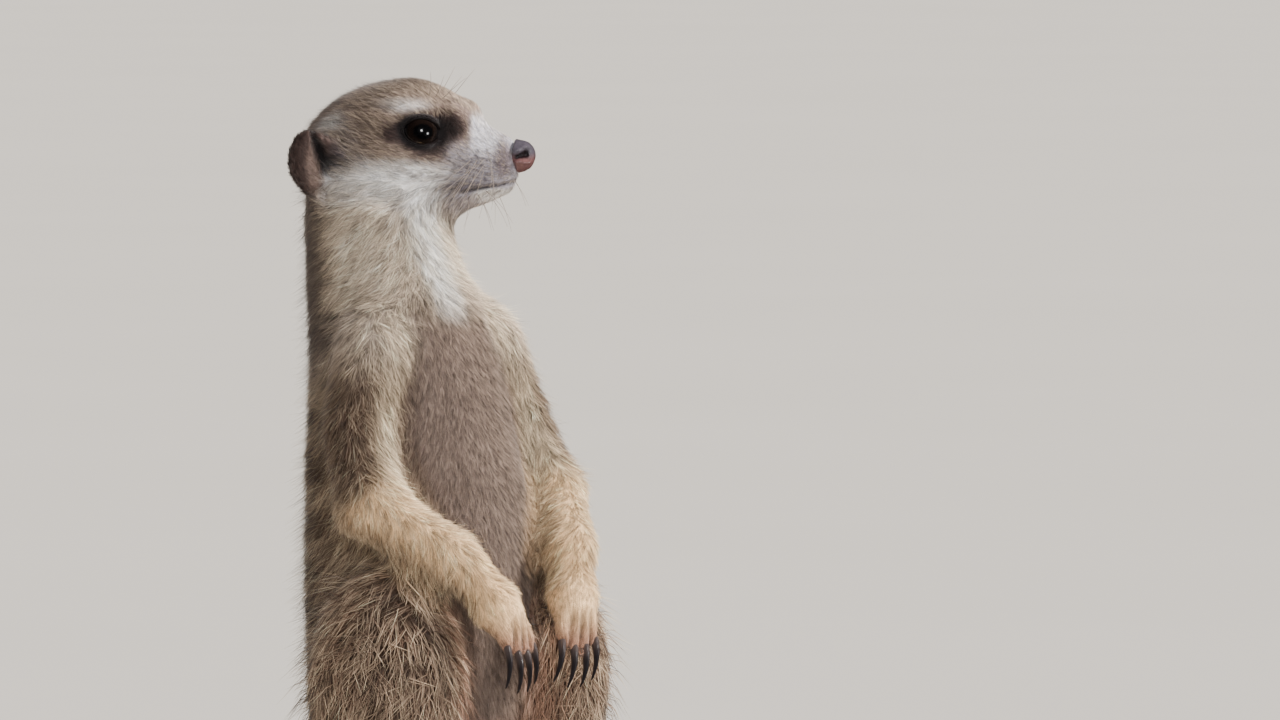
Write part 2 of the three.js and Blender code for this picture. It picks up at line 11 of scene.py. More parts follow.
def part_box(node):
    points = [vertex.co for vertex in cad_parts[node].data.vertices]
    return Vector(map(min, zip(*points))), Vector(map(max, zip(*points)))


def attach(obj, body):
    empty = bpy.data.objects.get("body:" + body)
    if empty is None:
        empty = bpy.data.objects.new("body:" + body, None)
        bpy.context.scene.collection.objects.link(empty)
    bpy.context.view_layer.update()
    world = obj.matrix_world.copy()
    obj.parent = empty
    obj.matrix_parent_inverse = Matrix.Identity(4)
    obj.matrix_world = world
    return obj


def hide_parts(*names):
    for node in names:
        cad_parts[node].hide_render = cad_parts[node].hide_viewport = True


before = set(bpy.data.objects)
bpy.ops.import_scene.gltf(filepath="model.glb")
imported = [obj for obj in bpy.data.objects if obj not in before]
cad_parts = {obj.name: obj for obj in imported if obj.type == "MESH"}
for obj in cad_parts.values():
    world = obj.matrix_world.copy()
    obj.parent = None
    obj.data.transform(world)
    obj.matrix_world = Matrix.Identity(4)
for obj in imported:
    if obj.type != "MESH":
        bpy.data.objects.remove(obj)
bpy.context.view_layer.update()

# A meerkat on guard. Sizes below are in millimetres, turned into metres by MM where they meet the frame.
MM = 0.001
SIDES = ("right", "left")
MIRROR = {"right": -1.0, "left": 1.0}
SEED = 20

# ---- the body's parts and their coats

# region: the nodes it covers
REGIONS = {
    "head": ("head", "jaw"),
    "ear": ("ear_right", "ear_left"),
    "neck": ("neck",),
    "chest": ("chest",),
    "flank": ("belly",),
    "rump": ("hips",),
    "upper_arm": ("upper_arm_right", "upper_arm_left"),
    "forearm": ("forearm_right", "forearm_left"),
    "hand": ("hand_right", "hand_left"),
    "thigh": ("thigh_right", "thigh_left"),
    "shank": ("shank_right", "shank_left"),
    "foot": ("foot_right", "foot_left"),
    "tail_base": ("tail_base",),
    "tail_middle": ("tail_middle",),
    "tail_tip": ("tail_tip",),
}
FLESH = [node for nodes in REGIONS.values() for node in nodes]

# coat of each region: depth under the outline, length and width of a lock, disorder of its lie (radians),
# share of hairs that stand out, and how dense the locks are
SIZES = ("depth", "length", "width", "disorder", "wild", "dense")
COAT = {
    "head": (2.0, 4.8, 0.26, 0.24, 0.05, 3.4),
    "ear": (0.8, 2.4, 0.22, 0.3, 0.02, 3.2),
    "neck": (3.4, 8.0, 0.3, 0.34, 0.12, 2.0),
    "chest": (4.2, 9.0, 0.31, 0.4, 0.16, 1.8),
    "flank": (4.6, 10.5, 0.33, 0.42, 0.22, 1.6),
    "rump": (5.0, 13.0, 0.42, 0.42, 0.15, 1.3),
    "upper_arm": (3.2, 7.5, 0.3, 0.4, 0.14, 2.2),
    "forearm": (2.1, 5.5, 0.26, 0.28, 0.08, 2.8),
    "hand": (0.6, 2.4, 0.19, 0.16, 0.0, 4.5),
    "thigh": (5.4, 14.0, 0.42, 0.45, 0.14, 1.5),
    "shank": (2.8, 7.0, 0.3, 0.3, 0.05, 1.8),
    "foot": (0.8, 2.8, 0.22, 0.18, 0.0, 3.2),
    "tail_base": (3.6, 11.0, 0.4, 0.26, 0.04, 1.5),
    "tail_middle": (2.4, 7.0, 0.3, 0.22, 0.03, 2.0),
    "tail_tip": (2.0, 6.5, 0.3, 0.22, 0.03, 2.2),
}
MUZZLE_COAT = (0.6, 2.2, 0.17, 0.2, 0.0, 5.2)
BROW_COAT = (1.2, 3.0, 0.2, 0.2, 0.02, 4.8)
LID_COAT = (0.45, 2.0, 0.17, 0.14, 0.0, 5.0)
CHEEK_COAT = (2.1, 6.6, 0.27, 0.34, 0.06, 3.2)
CROWN_COAT = (2.0, 4.6, 0.25, 0.32, 0.2, 3.2)
BELLY_COAT = (1.4, 3.4, 0.22, 0.16, 0.0, 3.6)

# coat pieces: the regions each covers, its locks, the rings of points of each lock, and its slot
COAT_PIECES = {
    "coat_face": (("head",), 43000, 1, "face_coat"),
    "coat_crown": (("head", "ear"), 40000, 1, "face_coat"),
    "coat_neck": (("neck",), 33000, 1, "body_coat"),
    "coat_chest": (("chest",), 41000, 1, "body_coat"),
    "coat_belly": (("flank",), 46000, 1, "belly_coat"),
    "coat_rump": (("rump", "tail_base"), 13500, 2, "body_coat"),
    "coat_arms": (("upper_arm", "forearm"), 42000, 1, "limb_coat"),
    "coat_thighs": (("thigh",), 18500, 2, "body_coat"),
    "coat_paws": (("hand", "foot"), 27000, 1, "limb_coat"),
    "coat_shanks_and_tail": (("shank", "tail_middle", "tail_tip"), 31000, 1, "limb_coat"),
}
FACE_FROM = 6.0  # head place where the face's coat ends and the crown's begins

# ---- small helpers


def unit(v):
    """v, or each row of it, at length 1."""
    v = np.asarray(v, float)
    return v / np.maximum(np.linalg.norm(v, axis=-1, keepdims=True), 1e-12)


def ramp(x, start, end):
    """0 before start, 1 after end, and smooth between them; start may be the larger."""
    t = np.clip((x - start) / (end - start), 0, 1)
    return t * t * (3 - 2 * t)


def mix(a, b, share):
    """From a, at share 0, to b, at share 1."""
    share = np.asarray(share)
    rows = any(np.ndim(v) == 2 or (np.ndim(v) == 1 and len(v) != len(np.atleast_1d(share))) for v in (a, b))
    if share.ndim == 1 and rows:
        share = share[:, None]
    return a * (1 - share) + b * share


def layered(base, *layers):
    """A base with layers laid over it in turn: what each brings, and its share."""
    for brought, share in layers:
        base = mix(base, np.asarray(brought), share)
    return base


def bell(x, width):
    """1 where x is 0, falling away over a width."""
    return np.exp(-((x / width) ** 2))


def turned(a, b, angle):
    """Between a, at angle 0, and b, a quarter turn on."""
    return a * math.cos(angle) + b * math.sin(angle)


def line_reach(points, ends):
    """Distance from the line between two ends, and how far along it, from 0 to 1."""
    start, end = np.array(ends)
    way = end - start
    t = np.clip((points - start) @ way / (way @ way), 0, 1)
    return np.linalg.norm(points - start - t[:, None] * way, axis=1), t


def added(name, data):
    """A new object in the scene."""
    made = bpy.data.objects.new(name, data)
    bpy.context.scene.collection.objects.link(made)
    return made


def middle(node):
    """Middle of a node's box."""
    low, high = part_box(node)
    return (np.array(low) + np.array(high)) / 2


def toward(start, end):
    """Direction from one node's middle to another's."""
    return unit(middle(end) - middle(start))


def dot(a, b):
    """Row by row product."""
    return (a * b).sum(axis=-1)


# ---- the head's own frame

UP = np.array((0.0, 0.0, 1.0))
DOWN = -UP
BACK = np.array((0.0, 1.0, 0.0))  # the body's back; its belly faces the other way
EYE_AT = {side: middle(f"eye_{side}") for side in SIDES}
LEFTWARD = unit(EYE_AT["left"] - EYE_AT["right"])
FORWARD = np.cross(LEFTWARD, UP)
EYE_FORWARD = 15.2
EYE_UP = 7.0
EYE_RADIUS = 6.5
NOSE_MIDDLE = (44.2, 0.0, -0.9)
NOSE_SIZE = (4.9, 5.0, 5.3)
BAR_GAP = 15.0  # from one dark bar of the back to the next
BAR_DROOP = 0.28
EAR_SLIT = ((-20.3, 6.4), (-14.3, -8.5))  # forward and up, at its top and foot
SPLAY = 0.177  # a marking lies this much further forward for each step out to the side
HEAD_MIDDLE = (EYE_AT["left"] + EYE_AT["right"]) / 2 - (FORWARD * EYE_FORWARD + UP * EYE_UP) * MM
HEAD_AXES = np.array((FORWARD, LEFTWARD, UP))
BODY_BACKSET = 63.0  # the body's own upright stands this far in front of the part's middle


def head_place(points):
    """Millimetres forward, left and up from the head's middle."""
    return (points - HEAD_MIDDLE) @ HEAD_AXES.T / MM


def from_head(places):
    """The frame's points for head places."""
    return HEAD_MIDDLE + np.asarray(places, float) @ HEAD_AXES * MM


def body_place(points):
    """Millimetres left of, behind and above the foot of the body's upright."""
    return points / MM + np.array((0.0, BODY_BACKSET, 0.0))


# ---- meshes from arrays


def mesh_from(name, points, corners, starts):
    """A mesh of faces, each a run of corners from its start to the next."""
    mesh = bpy.data.meshes.new(name)
    mesh.vertices.add(len(points))
    mesh.vertices.foreach_set("co", np.asarray(points, np.float32).ravel())
    mesh.loops.add(len(corners))
    mesh.loops.foreach_set("vertex_index", np.asarray(corners, np.int32).ravel())
    mesh.polygons.add(len(starts))
    mesh.polygons.foreach_set("loop_start", np.asarray(starts, np.int32).ravel())
    mesh.update(calc_edges=True)
    mesh.validate()
    mesh.shade_smooth()
    return mesh


def joined(name, parts):
    """One mesh from several (points, faces) pairs."""
    points, corners, starts, first, loops = [], [], [], 0, 0
    for part_points, faces in parts:
        for face in faces:
            starts.append(loops)
            corners.extend(first + i for i in face)
            loops += len(face)
        points.append(part_points)
        first += len(part_points)
    mesh = mesh_from(name, np.concatenate(points), corners, starts)
    edited(mesh, lambda bm: bmesh.ops.recalc_face_normals(bm, faces=bm.faces))
    return mesh


def edited(mesh, change):
    """Makes a change to a mesh's faces and edges."""
    bm = bmesh.new()
    bm.from_mesh(mesh)
    bm.verts.ensure_lookup_table()
    change(bm)
    bm.to_mesh(mesh)
    bm.free()


def rows_of(items, key, width, kind=np.int32):
    """A value of each item as rows of numbers."""
    flat = np.empty(len(items) * width, kind)
    items.foreach_get(key, flat)
    return flat.reshape(-1, width)


def points_of(mesh):
    """A mesh's points."""
    return rows_of(mesh.vertices, "co", 3, np.float32).astype(float)


def set_points(mesh, points):
    """Moves a mesh's points."""
    mesh.vertices.foreach_set("co", np.asarray(points, np.float32).ravel())
    mesh.update()


def normals_of(mesh):
    """A mesh's point normals."""
    return rows_of(mesh.vertex_normals, "vector", 3, np.float32).astype(float)


def triangles_of(mesh):
    """A mesh's triangles as point triples."""
    mesh.calc_loop_triangles()
    return rows_of(mesh.loop_triangles, "vertices", 3)


def place(name, mesh, material):
    """Puts a finished mesh in the scene as a piece of the body."""
    piece = added(name, mesh)
    mesh.materials.clear()
    mesh.materials.append(material)
    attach(piece, "root")
    return piece


def paint(mesh, name, colours):
    """Stores a colour for each point."""
    layer = mesh.color_attributes.new(name=name, type="FLOAT_COLOR", domain="POINT")
    rows = np.ones((len(mesh.vertices), 4), np.float32)
    rows[:, :3] = np.clip(colours, 0, 1)
    layer.data.foreach_set("color", rows.ravel())


def evaluated(mesh, kind, **settings):
    """A mesh after one modifier."""
    holder = added("holder", mesh)
    modifier = holder.modifiers.new(kind.lower(), kind)
    for key, value in settings.items():
        setattr(modifier, key, value)
    graph = bpy.context.evaluated_depsgraph_get()
    made = bpy.data.meshes.new_from_object(holder.evaluated_get(graph))
    bpy.data.objects.remove(holder)
    return made


class Web:
    """The edges of a surface, over which values are averaged."""

    def __init__(self, mesh):
        edges = rows_of(mesh.edges, "vertices", 2)
        self.ends = np.concatenate((edges[:, 0], edges[:, 1]))
        self.others = np.concatenate((edges[:, 1], edges[:, 0]))
        self.size = len(mesh.vertices)
        self.count = np.maximum(np.bincount(self.ends, minlength=self.size), 1)

    def mean(self, values):
        """Mean of each point's neighbours."""
        columns = values.reshape(self.size, -1).T
        sums = [np.bincount(self.ends, column[self.others], self.size) for column in columns]
        return (np.array(sums) / self.count).T.reshape(values.shape)

    def spread(self, values, rounds):
        """Values blurred over the surface."""
        for _ in range(rounds):
            values = (values + self.mean(values)) / 2
        return values

    def fair(self, points, rounds, share=1.0, inward=0.5, outward=-0.53):
        """Points smoothed without shrinking."""
        share = np.broadcast_to(share, (self.size,))[:, None]
        for _ in range(rounds):
            points = points + share * inward * (self.mean(points) - points)
            points = points + share * outward * (self.mean(points) - points)
        return points


# ---- colours and markings


def tone(red, green, blue):
    """A colour named by its display values, as linear light."""
    shown = np.array((red, green, blue)) / 255
    return np.where(shown <= 0.04045, shown / 12.92, ((shown + 0.055) / 1.055) ** 2.4)


ASH = tone(124, 106, 98)  # crown
ROSE = tone(128, 108, 102)  # front of the brow
FROST = tone(192, 190, 200)  # bridge of the snout
WHITE = tone(248, 244, 240)  # throat and chin
PALE = tone(244, 240, 238)  # cheek
SMOKE = tone(146, 140, 147)  # side of the muzzle
SLATE = tone(84, 78, 84)  # lips, whisker spots and behind the cheek
UMBER = tone(56, 43, 40)  # patch round the eye
SOOT = tone(22, 17, 18)  # lids, ears' slits and tail's end
BISTRE = tone(64, 50, 46)  # ears, and the nape and back of the head, where it is partly painted shade
SAND = tone(226, 206, 186)  # sides of the neck and shoulders
TAN = tone(124, 98, 80)  # flanks
DUN = tone(98, 76, 63)  # back and thighs; also painted shade under the forearms and, in part, on the outer upper arms
CREAM = tone(240, 216, 182)  # tips of the long hairs, and painted light on the upper arms' inner sides
BUFF = tone(220, 181, 136)  # forearms and shanks
TAUPE = tone(103, 87, 79)  # short coat of the belly
RUSSET = tone(140, 102, 82)  # inner thighs and fingers
BAND = tone(54, 40, 32)  # bars across the back
FAWN = tone(172, 139, 106)  # tail
MUSK = tone(88, 76, 80)  # round the nose pad
BAG = tone(110, 92, 86)  # under the eye


def oval(spots, centre, size, soft=0.25):
    """1 inside an oval patch, 0 outside it."""
    reach = np.sqrt((((spots - np.array(centre)) / np.array(size)) ** 2).sum(axis=-1))
    return ramp(reach, 1 + soft, 1 - soft)


def seen_places(points):
    """Head places as a line across the splayed head shows them: forward, outward and up."""
    f, side, u = head_place(points).T
    side = np.abs(side)
    return f - SPLAY * side, side, u


def eye_patch(flat):
    """The dark patch round the eye, with a blunt point behind it and a browner bag below."""
    body = oval(flat, (14.4, 6.9), (9.6, 7.0), 0.28)
    front = oval(flat, (20.2, 8.6), (7.4, 5.2), 0.32)
    behind = oval(flat, (5.0, 7.0), (4.4, 3.6), 0.35)
    return np.maximum(np.maximum(body, front), behind)


def head_markings(points, normals):
    """Colours of the head, from its own places."""
    f, side, u = seen_places(points)
    flat = np.stack((f, u), -1)
    return layered(
        ASH,
        (PALE, ramp(u, 0, -6) * ramp(f, 24, 14)),
        (SMOKE, ramp(f, 16, 24) * ramp(u, 6, 0)),
        (SLATE, oval(flat, (-10, 1), (5, 9), 0.5) * 0.75),
        (PALE, oval(flat, (-17.5, 10), (6, 3.4), 0.5) * ramp(side, 8, 13) * 0.6),
        (BISTRE, ramp(u, 17, 23) * ramp(f, 22, 14) * 0.7),
        # the back of the head darker where it faces backward: partly its own darker fur, partly painted shade
        (BISTRE, ramp(-(normals @ FORWARD), 0.3, 0.8) * ramp(u, 14, -6) * 0.7),
        (PALE, oval(flat, (8.5, 15), (6.5, 1.8), 0.8) * 0.45),  # brow
        (ROSE, oval(flat, (26, 14), (8, 6), 0.3) * 0.9),
        (FROST, ramp(f, 28, 30) * ramp(u, -2, 3) * ramp(u, 12.5, 11)),
        (PALE, oval(flat, (9, -6), (12, 3.6), 0.5) * 0.9),  # cheek
        (SLATE, oval(flat, (17, -6.8), (5, 0.9), 0.6) * 0.6),
        (SLATE, oval(flat, (27, -10.2), (9, 1.9), 0.6) * 0.9),  # lips
        (SLATE, whisker_spots(flat)),
        (MUSK, oval(flat, (39.4, -1.5), (3.0, 6.5), 0.5) * 0.9),
        (WHITE, oval(flat, (36, -13), (6, 2.6), 0.35) * ramp(u, -10.0, -11.4) * 0.65),  # chin
        (SMOKE, oval(flat, (26, -16), (6, 3), 0.5) * 0.7),
        (WHITE, oval(flat, (0, -12), (14, 5), 0.6) * 0.4),
        (BAG, oval(flat, (15.6, 0.4), (6.2, 3.4), 0.3) * ramp(side, 6, 9)),
        (UMBER, eye_patch(flat) * ramp(side, 4, 8)),
        (SOOT, oval(flat, (15.2, 6.9), (9.4, 5.4), 0.35) * ramp(side, 5, 9) * 0.8),
    )


def whisker_spots(flat):
    """Rows of small dark spots where the whiskers grow."""
    f, u = flat.T
    rows = 0.5 + 0.5 * np.cos((u + 0.3 * f) / 2.1 * 2 * math.pi)
    along_row = 0.5 + 0.5 * np.cos((f + 1.2 * np.sin(u * 1.9)) / 2.7 * 2 * math.pi)
    return ramp(rows * along_row, 0.3, 0.62) * oval(flat, (31, -4), (7.5, 5.2), 0.3)


def ear_slit(points):
    """1 in the ear's slit, which is widest below its middle."""
    f, _, u = seen_places(points)
    reach, t = line_reach(np.stack((f, u), -1), EAR_SLIT)
    return ramp(reach - 1.2 * np.sin(t**1.4 * math.pi), 1.7, 0.1)


def ear_markings(points):
    """A dark ear, paler in the middle of its flap and greyer where the cheek's fur meets it."""
    f, _, u = seen_places(points)
    flat = np.stack((f, u), -1)
    colour = mix(BISTRE, tone(118, 98, 90), oval(flat, (-19.5, -4), (3, 7.5), 0.5) * 0.7)
    colour = mix(colour, SLATE, ramp(f, -14, -12))
    return mix(colour, SOOT, ear_slit(points))


def belly_front(places, normals):
    """1 on the short-haired front of the belly, between the arms."""
    x, _, z = places.T
    facing = ramp(-normals[:, 1], 0.15, 0.72)
    width = 25.0 - 7.0 * ramp(z, 205, 240)
    return facing * ramp(np.abs(x), width + 6, width - 6) * ramp(z, 254, 232) * ramp(z, 70, 84)


def throat(places, normals):
    """1 on the white strip from the chin to the breast."""
    x, _, z = places.T
    facing = ramp(-normals[:, 1], 0.3, 0.7)
    width = 5.6 - 0.8 * ramp(z, 258, 240)
    return facing * ramp(np.abs(x), width + 3, width - 3) * ramp(z, 234, 242)


def back_bars(places, normals):
    """1 on the dark bars across the back, from behind the shoulders to the tail."""
    x, _, z = places.T
    bend = z + np.abs(x) * BAR_DROOP + 1.6 * np.sin(x / 5.5 + z / 9.0)
    wave = 0.5 + 0.5 * np.cos(bend / BAR_GAP * 2 * math.pi)
    area = ramp(normals[:, 1], 0.0, 0.5) * ramp(z, 84, 96) * ramp(z, 216, 202)
    return ramp(wave, 0.4, 0.8) * area


def nape_dark_fur_and_shade(places, normals):
    """1 on the dark strip down the back of the neck: partly its own dark fur, partly painted shade of its
    unlit back.
    """
    x, _, z = places.T
    return ramp(normals[:, 1], -0.12, 0.16) * ramp(z, 212, 228) * ramp(np.abs(x), 40, 30)


def markings(points, normals, shares):
    """The coat's colour at each point, with painted shade on the nape, under the forearms and on the outer
    upper arms, and painted light on the upper arms' inner sides; shares says how far each region reaches it.
    """
    places = body_place(points)
    x, _, z = places.T
    behind = ramp(normals[:, 1], -0.2, 0.6)
    trunk = layered(
        TAN,
        (DUN, behind),
        (SAND, ramp(z, 206, 236)),
        (BAND, back_bars(places, normals) * 0.85),
        # the nape's dark strip: partly its own dark fur, partly painted shade
        (BISTRE, nape_dark_fur_and_shade(places, normals) * 0.9),
        (TAUPE, belly_front(places, normals)),
        (WHITE, throat(places, normals)),
    )
    tail = layered(FAWN, (SOOT, ramp(places[:, 1], 146, 160)), (DUN, ramp(normals[:, 2], 0.0, 0.8) * 0.4))
    inner = ramp(np.abs(x), 30, 18) * ramp(-normals[:, 1], 0.0, 0.6)
    under = ramp(-normals[:, 2], 0.2, 0.8)
    # inner sides of the upper arms painted pale: painted light, partly paler inner fur; the outer sides are
    # dark DUN, partly painted shade
    inward = ramp(normals[:, 0] * np.sign(x), 0.4, -0.35)
    dun_and_shaded_outer_arm = mix(DUN, SAND, ramp(z, 214, 232) * 0.7)
    colours = {
        "head": head_markings(points, normals),
        "ear": ear_markings(points),
        **dict.fromkeys(("neck", "chest", "flank"), trunk),
        "rump": mix(trunk, RUSSET, inner * 0.4),
        # upper arms: painted light on the inner sides and painted shade on the outer sides, both partly the
        # fur's own colour
        "upper_arm": mix(mix(dun_and_shaded_outer_arm, BUFF, ramp(z, 186, 168) * 0.75), CREAM, inward * 0.7),
        # forearms: painted shade on their undersides
        "forearm": mix(BUFF, DUN, under * 0.7),
        "hand": mix(BUFF, RUSSET, ramp(z, 150, 138)),
        "thigh": mix(mix(TAN, DUN, 0.7), RUSSET, inner * 0.7),
        "shank": mix(BUFF, TAN, 0.3 + 0.5 * ramp(normals[:, 1], -0.3, 0.5)),
        "foot": mix(BUFF, TAN, 0.4 + 0.4 * ramp(z, 4, 0)),
        **dict.fromkeys(("tail_base", "tail_middle", "tail_tip"), tail),
    }
    return sum(shares[:, [i]] * colours[region] for i, region in enumerate(REGIONS))


# how pale the tips of each region's hairs are, and how dark their roots
TIP_PALE = {
    "head": 0.35, "ear": 0.08, "neck": 0.5, "chest": 0.5, "flank": 0.48, "rump": 0.48, "upper_arm": 0.42,
    "forearm": 0.5, "hand": 0.25, "thigh": 0.55, "shank": 0.35, "foot": 0.15, "tail_base": 0.25,
    "tail_middle": 0.12, "tail_tip": 0.02,
}
ROOT_SHADE = 0.42  # of a long hair; short ones are nearly even

# ---- materials


def new_group(name, inputs, outputs):
    """An empty shader group with named sockets: {name: (kind, value)} in, {name: kind} out."""
    group = bpy.data.node_groups.new(name, "ShaderNodeTree")
    for socket, (kind, value) in inputs.items():
        made = group.interface.new_socket(socket, in_out="INPUT", socket_type=kind)
        made.default_value = value
    for socket, kind in outputs.items():
        group.interface.new_socket(socket, in_out="OUTPUT", socket_type=kind)
    return group, group.nodes.new("NodeGroupInput"), group.nodes.new("NodeGroupOutput")


def node(tree, kind, links=None, **settings):
    """A node with its settings, and with its inputs set to values or linked to outputs."""
    made = tree.nodes.new("ShaderNode" + kind)
    for key, value in settings.items():
        setattr(made, key, value)
    for socket, source in (links or {}).items():
        if isinstance(source, bpy.types.NodeSocket):
            tree.links.new(source, made.inputs[socket])
        else:
            made.inputs[socket].default_value = source
    return made


def noise(tree, scale, detail, spot=None):
    """A fine noise through the object."""
    spot = spot or node(tree, "TexCoord").outputs["Object"]
    return node(tree, "TexNoise", {"Vector": spot, "Scale": scale, "Detail": detail}).outputs["Fac"]


def maths(tree, operation, *values):
    """A sum worked out in the shader."""
    return node(tree, "Math", dict(enumerate(values)), operation=operation).outputs[0]


def scaled(tree, vector, share):
    """A vector or colour times a number."""
    return node(tree, "VectorMath", {0: vector, "Scale": share}, operation="SCALE").outputs[0]


def streaks_group():
    """Fine streaks that run along the lie of the hair: noise averaged over a short run of it."""
    group, given, out = new_group(
        "hair_streaks",
        {
            "Lie": ("NodeSocketVector", (0.0, 0.0, 0.0)),
            "Run": ("NodeSocketFloat", 0.003),
            "Fineness": ("NodeSocketFloat", 2600.0),
        },
        {"Streaks": "NodeSocketFloat"},
    )
    spot = node(group, "TexCoord").outputs["Object"]
    steps = (-0.5, -0.3, -0.1, 0.1, 0.3, 0.5)
    total = 0.0
    for step in steps:
        reach = maths(group, "MULTIPLY", given.outputs["Run"], step)
        shift = scaled(group, given.outputs["Lie"], reach)
        moved = node(group, "VectorMath", {0: spot, 1: shift}, operation="ADD").outputs[0]
        total = maths(group, "ADD", total, noise(group, given.outputs["Fineness"], 1.0, moved))
    span = {"Value": total, "From Min": 0.38 * len(steps), "From Max": 0.62 * len(steps)}
    group.links.new(node(group, "MapRange", span).outputs["Result"], out.inputs["Streaks"])
    return group


def shade_group():
    """A colour made lighter and darker by a mask, and patchy over a wider scale."""
    group, given, out = new_group(
        "coat_shade",
        {
            "Colour": ("NodeSocketColor", (0.5, 0.5, 0.5, 1.0)),
            "Mask": ("NodeSocketFloat", 0.5),
            "Low": ("NodeSocketFloat", 0.7),
            "High": ("NodeSocketFloat", 1.3),
            "Patches": ("NodeSocketFloat", 90.0),
            "Patchiness": ("NodeSocketFloat", 0.15),
        },
        {"Colour": "NodeSocketColor"},
    )
    mask = {"Value": given.outputs["Mask"], "To Min": given.outputs["Low"], "To Max": given.outputs["High"]}
    fine = node(group, "MapRange", mask).outputs["Result"]
    centred = maths(group, "SUBTRACT", noise(group, given.outputs["Patches"], 3.0), 0.5)
    swing = maths(group, "MULTIPLY", centred, given.outputs["Patchiness"])
    factor = maths(group, "MULTIPLY", fine, maths(group, "MULTIPLY_ADD", swing, 2.0, 1.0))
    group.links.new(scaled(group, given.outputs["Colour"], factor), out.inputs["Colour"])
    return group


STREAKS = streaks_group()
SHADE = shade_group()


def new_material(name, **settings):
    """A material with a Principled shader whose constants are set on its sockets."""
    material = bpy.data.materials.new(name)
    material.use_nodes = True
    shader = material.node_tree.nodes["Principled BSDF"]
    for socket, value in settings.items():
        shader.inputs[socket.replace("_", " ")].default_value = value
    return material, material.node_tree, shader


def shade(tree, shader, mask, colour=None, **levels):
    """Colours a shader with the mesh's own colours, or one colour, made lighter and darker by a mask."""
    colour = colour or node(tree, "Attribute", attribute_name="coat_colour").outputs["Color"]
    made = node(tree, "Group", {"Colour": colour, "Mask": mask, **levels}, node_tree=SHADE)
    tree.links.new(made.outputs["Colour"], shader.inputs["Base Color"])


def bump(tree, shader, height, strength, distance):
    """Raises the surface by a height mask."""
    made = node(tree, "Bump", {"Height": height, "Strength": strength, "Distance": distance})
    tree.links.new(made.outputs["Normal"], shader.inputs["Normal"])


def skin_material():
    """Short flat fur: the marking colours, streaked along the lie of the hair."""
    material, tree, shader = new_material(
        "short_fur", Roughness=0.72, Specular_IOR_Level=0.22, Sheen_Weight=0.15, Sheen_Roughness=0.5
    )
    lie = node(tree, "Attribute", attribute_name="lie").outputs["Vector"]
    streaks = node(tree, "Group", {"Lie": lie, "Run": 0.0026, "Fineness": 2400.0}, node_tree=STREAKS)
    mask = streaks.outputs["Streaks"]
    shade(tree, shader, mask, Low=0.62, High=1.34, Patches=120.0)
    bump(tree, shader, mask, 0.55, 0.0004)
    return material


def hair_material():
    """Locks of hair, coloured from root to tip."""
    material, tree, shader = new_material(
        "coat_hair", Roughness=0.5, Specular_IOR_Level=0.32, Sheen_Weight=0.12, Sheen_Roughness=0.45
    )
    shade(tree, shader, noise(tree, 1500.0, 1.0), Low=0.8, High=1.2, Patches=160.0)
    return material


def eye_material():
    """A wet dark eye, its iris faintly mottled."""
    material, tree, shader = new_material(
        "eye_gloss", Roughness=0.2, Specular_IOR_Level=0.25, Coat_Weight=1.0, Coat_Roughness=0.02
    )
    shade(tree, shader, noise(tree, 1800.0, 2.0), Low=0.6, High=1.4, Patchiness=0.0)
    return material


def nose_material():
    """Bare pebbled skin of the nose, slightly wet."""
    material, tree, shader = new_material(
        "nose_skin", Roughness=0.42, Specular_IOR_Level=0.5, Coat_Weight=0.35, Coat_Roughness=0.25
    )
    spot = node(tree, "TexCoord").outputs["Object"]
    pebbles = node(tree, "TexVoronoi", {"Vector": spot, "Scale": 1500.0}, feature="SMOOTH_F1")
    distance = pebbles.outputs["Distance"]
    shade(tree, shader, distance, Low=1.2, High=0.7, Patches=400.0)
    bump(tree, shader, maths(tree, "SUBTRACT", 1.0, distance), 0.4, 0.0002)
    return material


def claw_material():
    """Dark horn with faint lengthwise streaks."""
    material, tree, shader = new_material(
        "claw_horn", Roughness=0.28, Specular_IOR_Level=0.55, Coat_Weight=0.3, Coat_Roughness=0.15
    )
    spot = node(tree, "TexCoord").outputs["Object"]
    stretched = node(tree, "Mapping", {"Vector": spot, "Scale": (1.0, 1.0, 0.15)}).outputs[0]
    streaks = noise(tree, 2200.0, 3.0, stretched)
    shade(tree, shader, streaks, Low=0.6, High=1.5, Patches=500.0)
    bump(tree, shader, streaks, 0.15, 0.0002)
    return material


def lid_material():
    """Bare dark skin of the lids' rims."""
    material, tree, shader = new_material("lid_skin", Roughness=0.42, Specular_IOR_Level=0.35)
    grain = noise(tree, 3000.0, 2.0)
    shade(tree, shader, grain, (*tone(18, 14, 14), 1.0), Low=0.6, High=1.6)
    bump(tree, shader, grain, 0.2, 0.0001)
    return material


def floor_material():
    """Pale matt floor, faintly mottled."""
    material, tree, shader = new_material("pale_floor", Roughness=0.9, Specular_IOR_Level=0.1)
    pale = (*tone(190, 185, 179), 1.0)
    shade(tree, shader, noise(tree, 3.0, 4.0), pale, Low=0.97, High=1.03, Patchiness=0.0)
    return material


# ---- the skin

SEAM_REACH = 2.6  # points this near another node are pushed over the seam
SEAM_PUSH = 0.95
SAMPLE_STEP = 2.2  # spacing of the points that tell one node from another
SKIN_STEP = 1.5  # the skin's first grid
LIE_ROUNDS = 30  # how often the lie of the hair is smoothed
INSET_STEPS = 4  # the skin goes in under the coat in this many steps
MOUTH_DEPTH, DIGIT_DEPTH, SLIT_DEPTH = 0.8, 1.1, 1.8


def welded(node_name):
    """A node's mesh with its split corners joined."""
    bm = bmesh.new()
    bm.from_mesh(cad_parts[node_name].data)
    bmesh.ops.remove_doubles(bm, verts=bm.verts, dist=1e-6)
    bm.normal_update()
    return bm


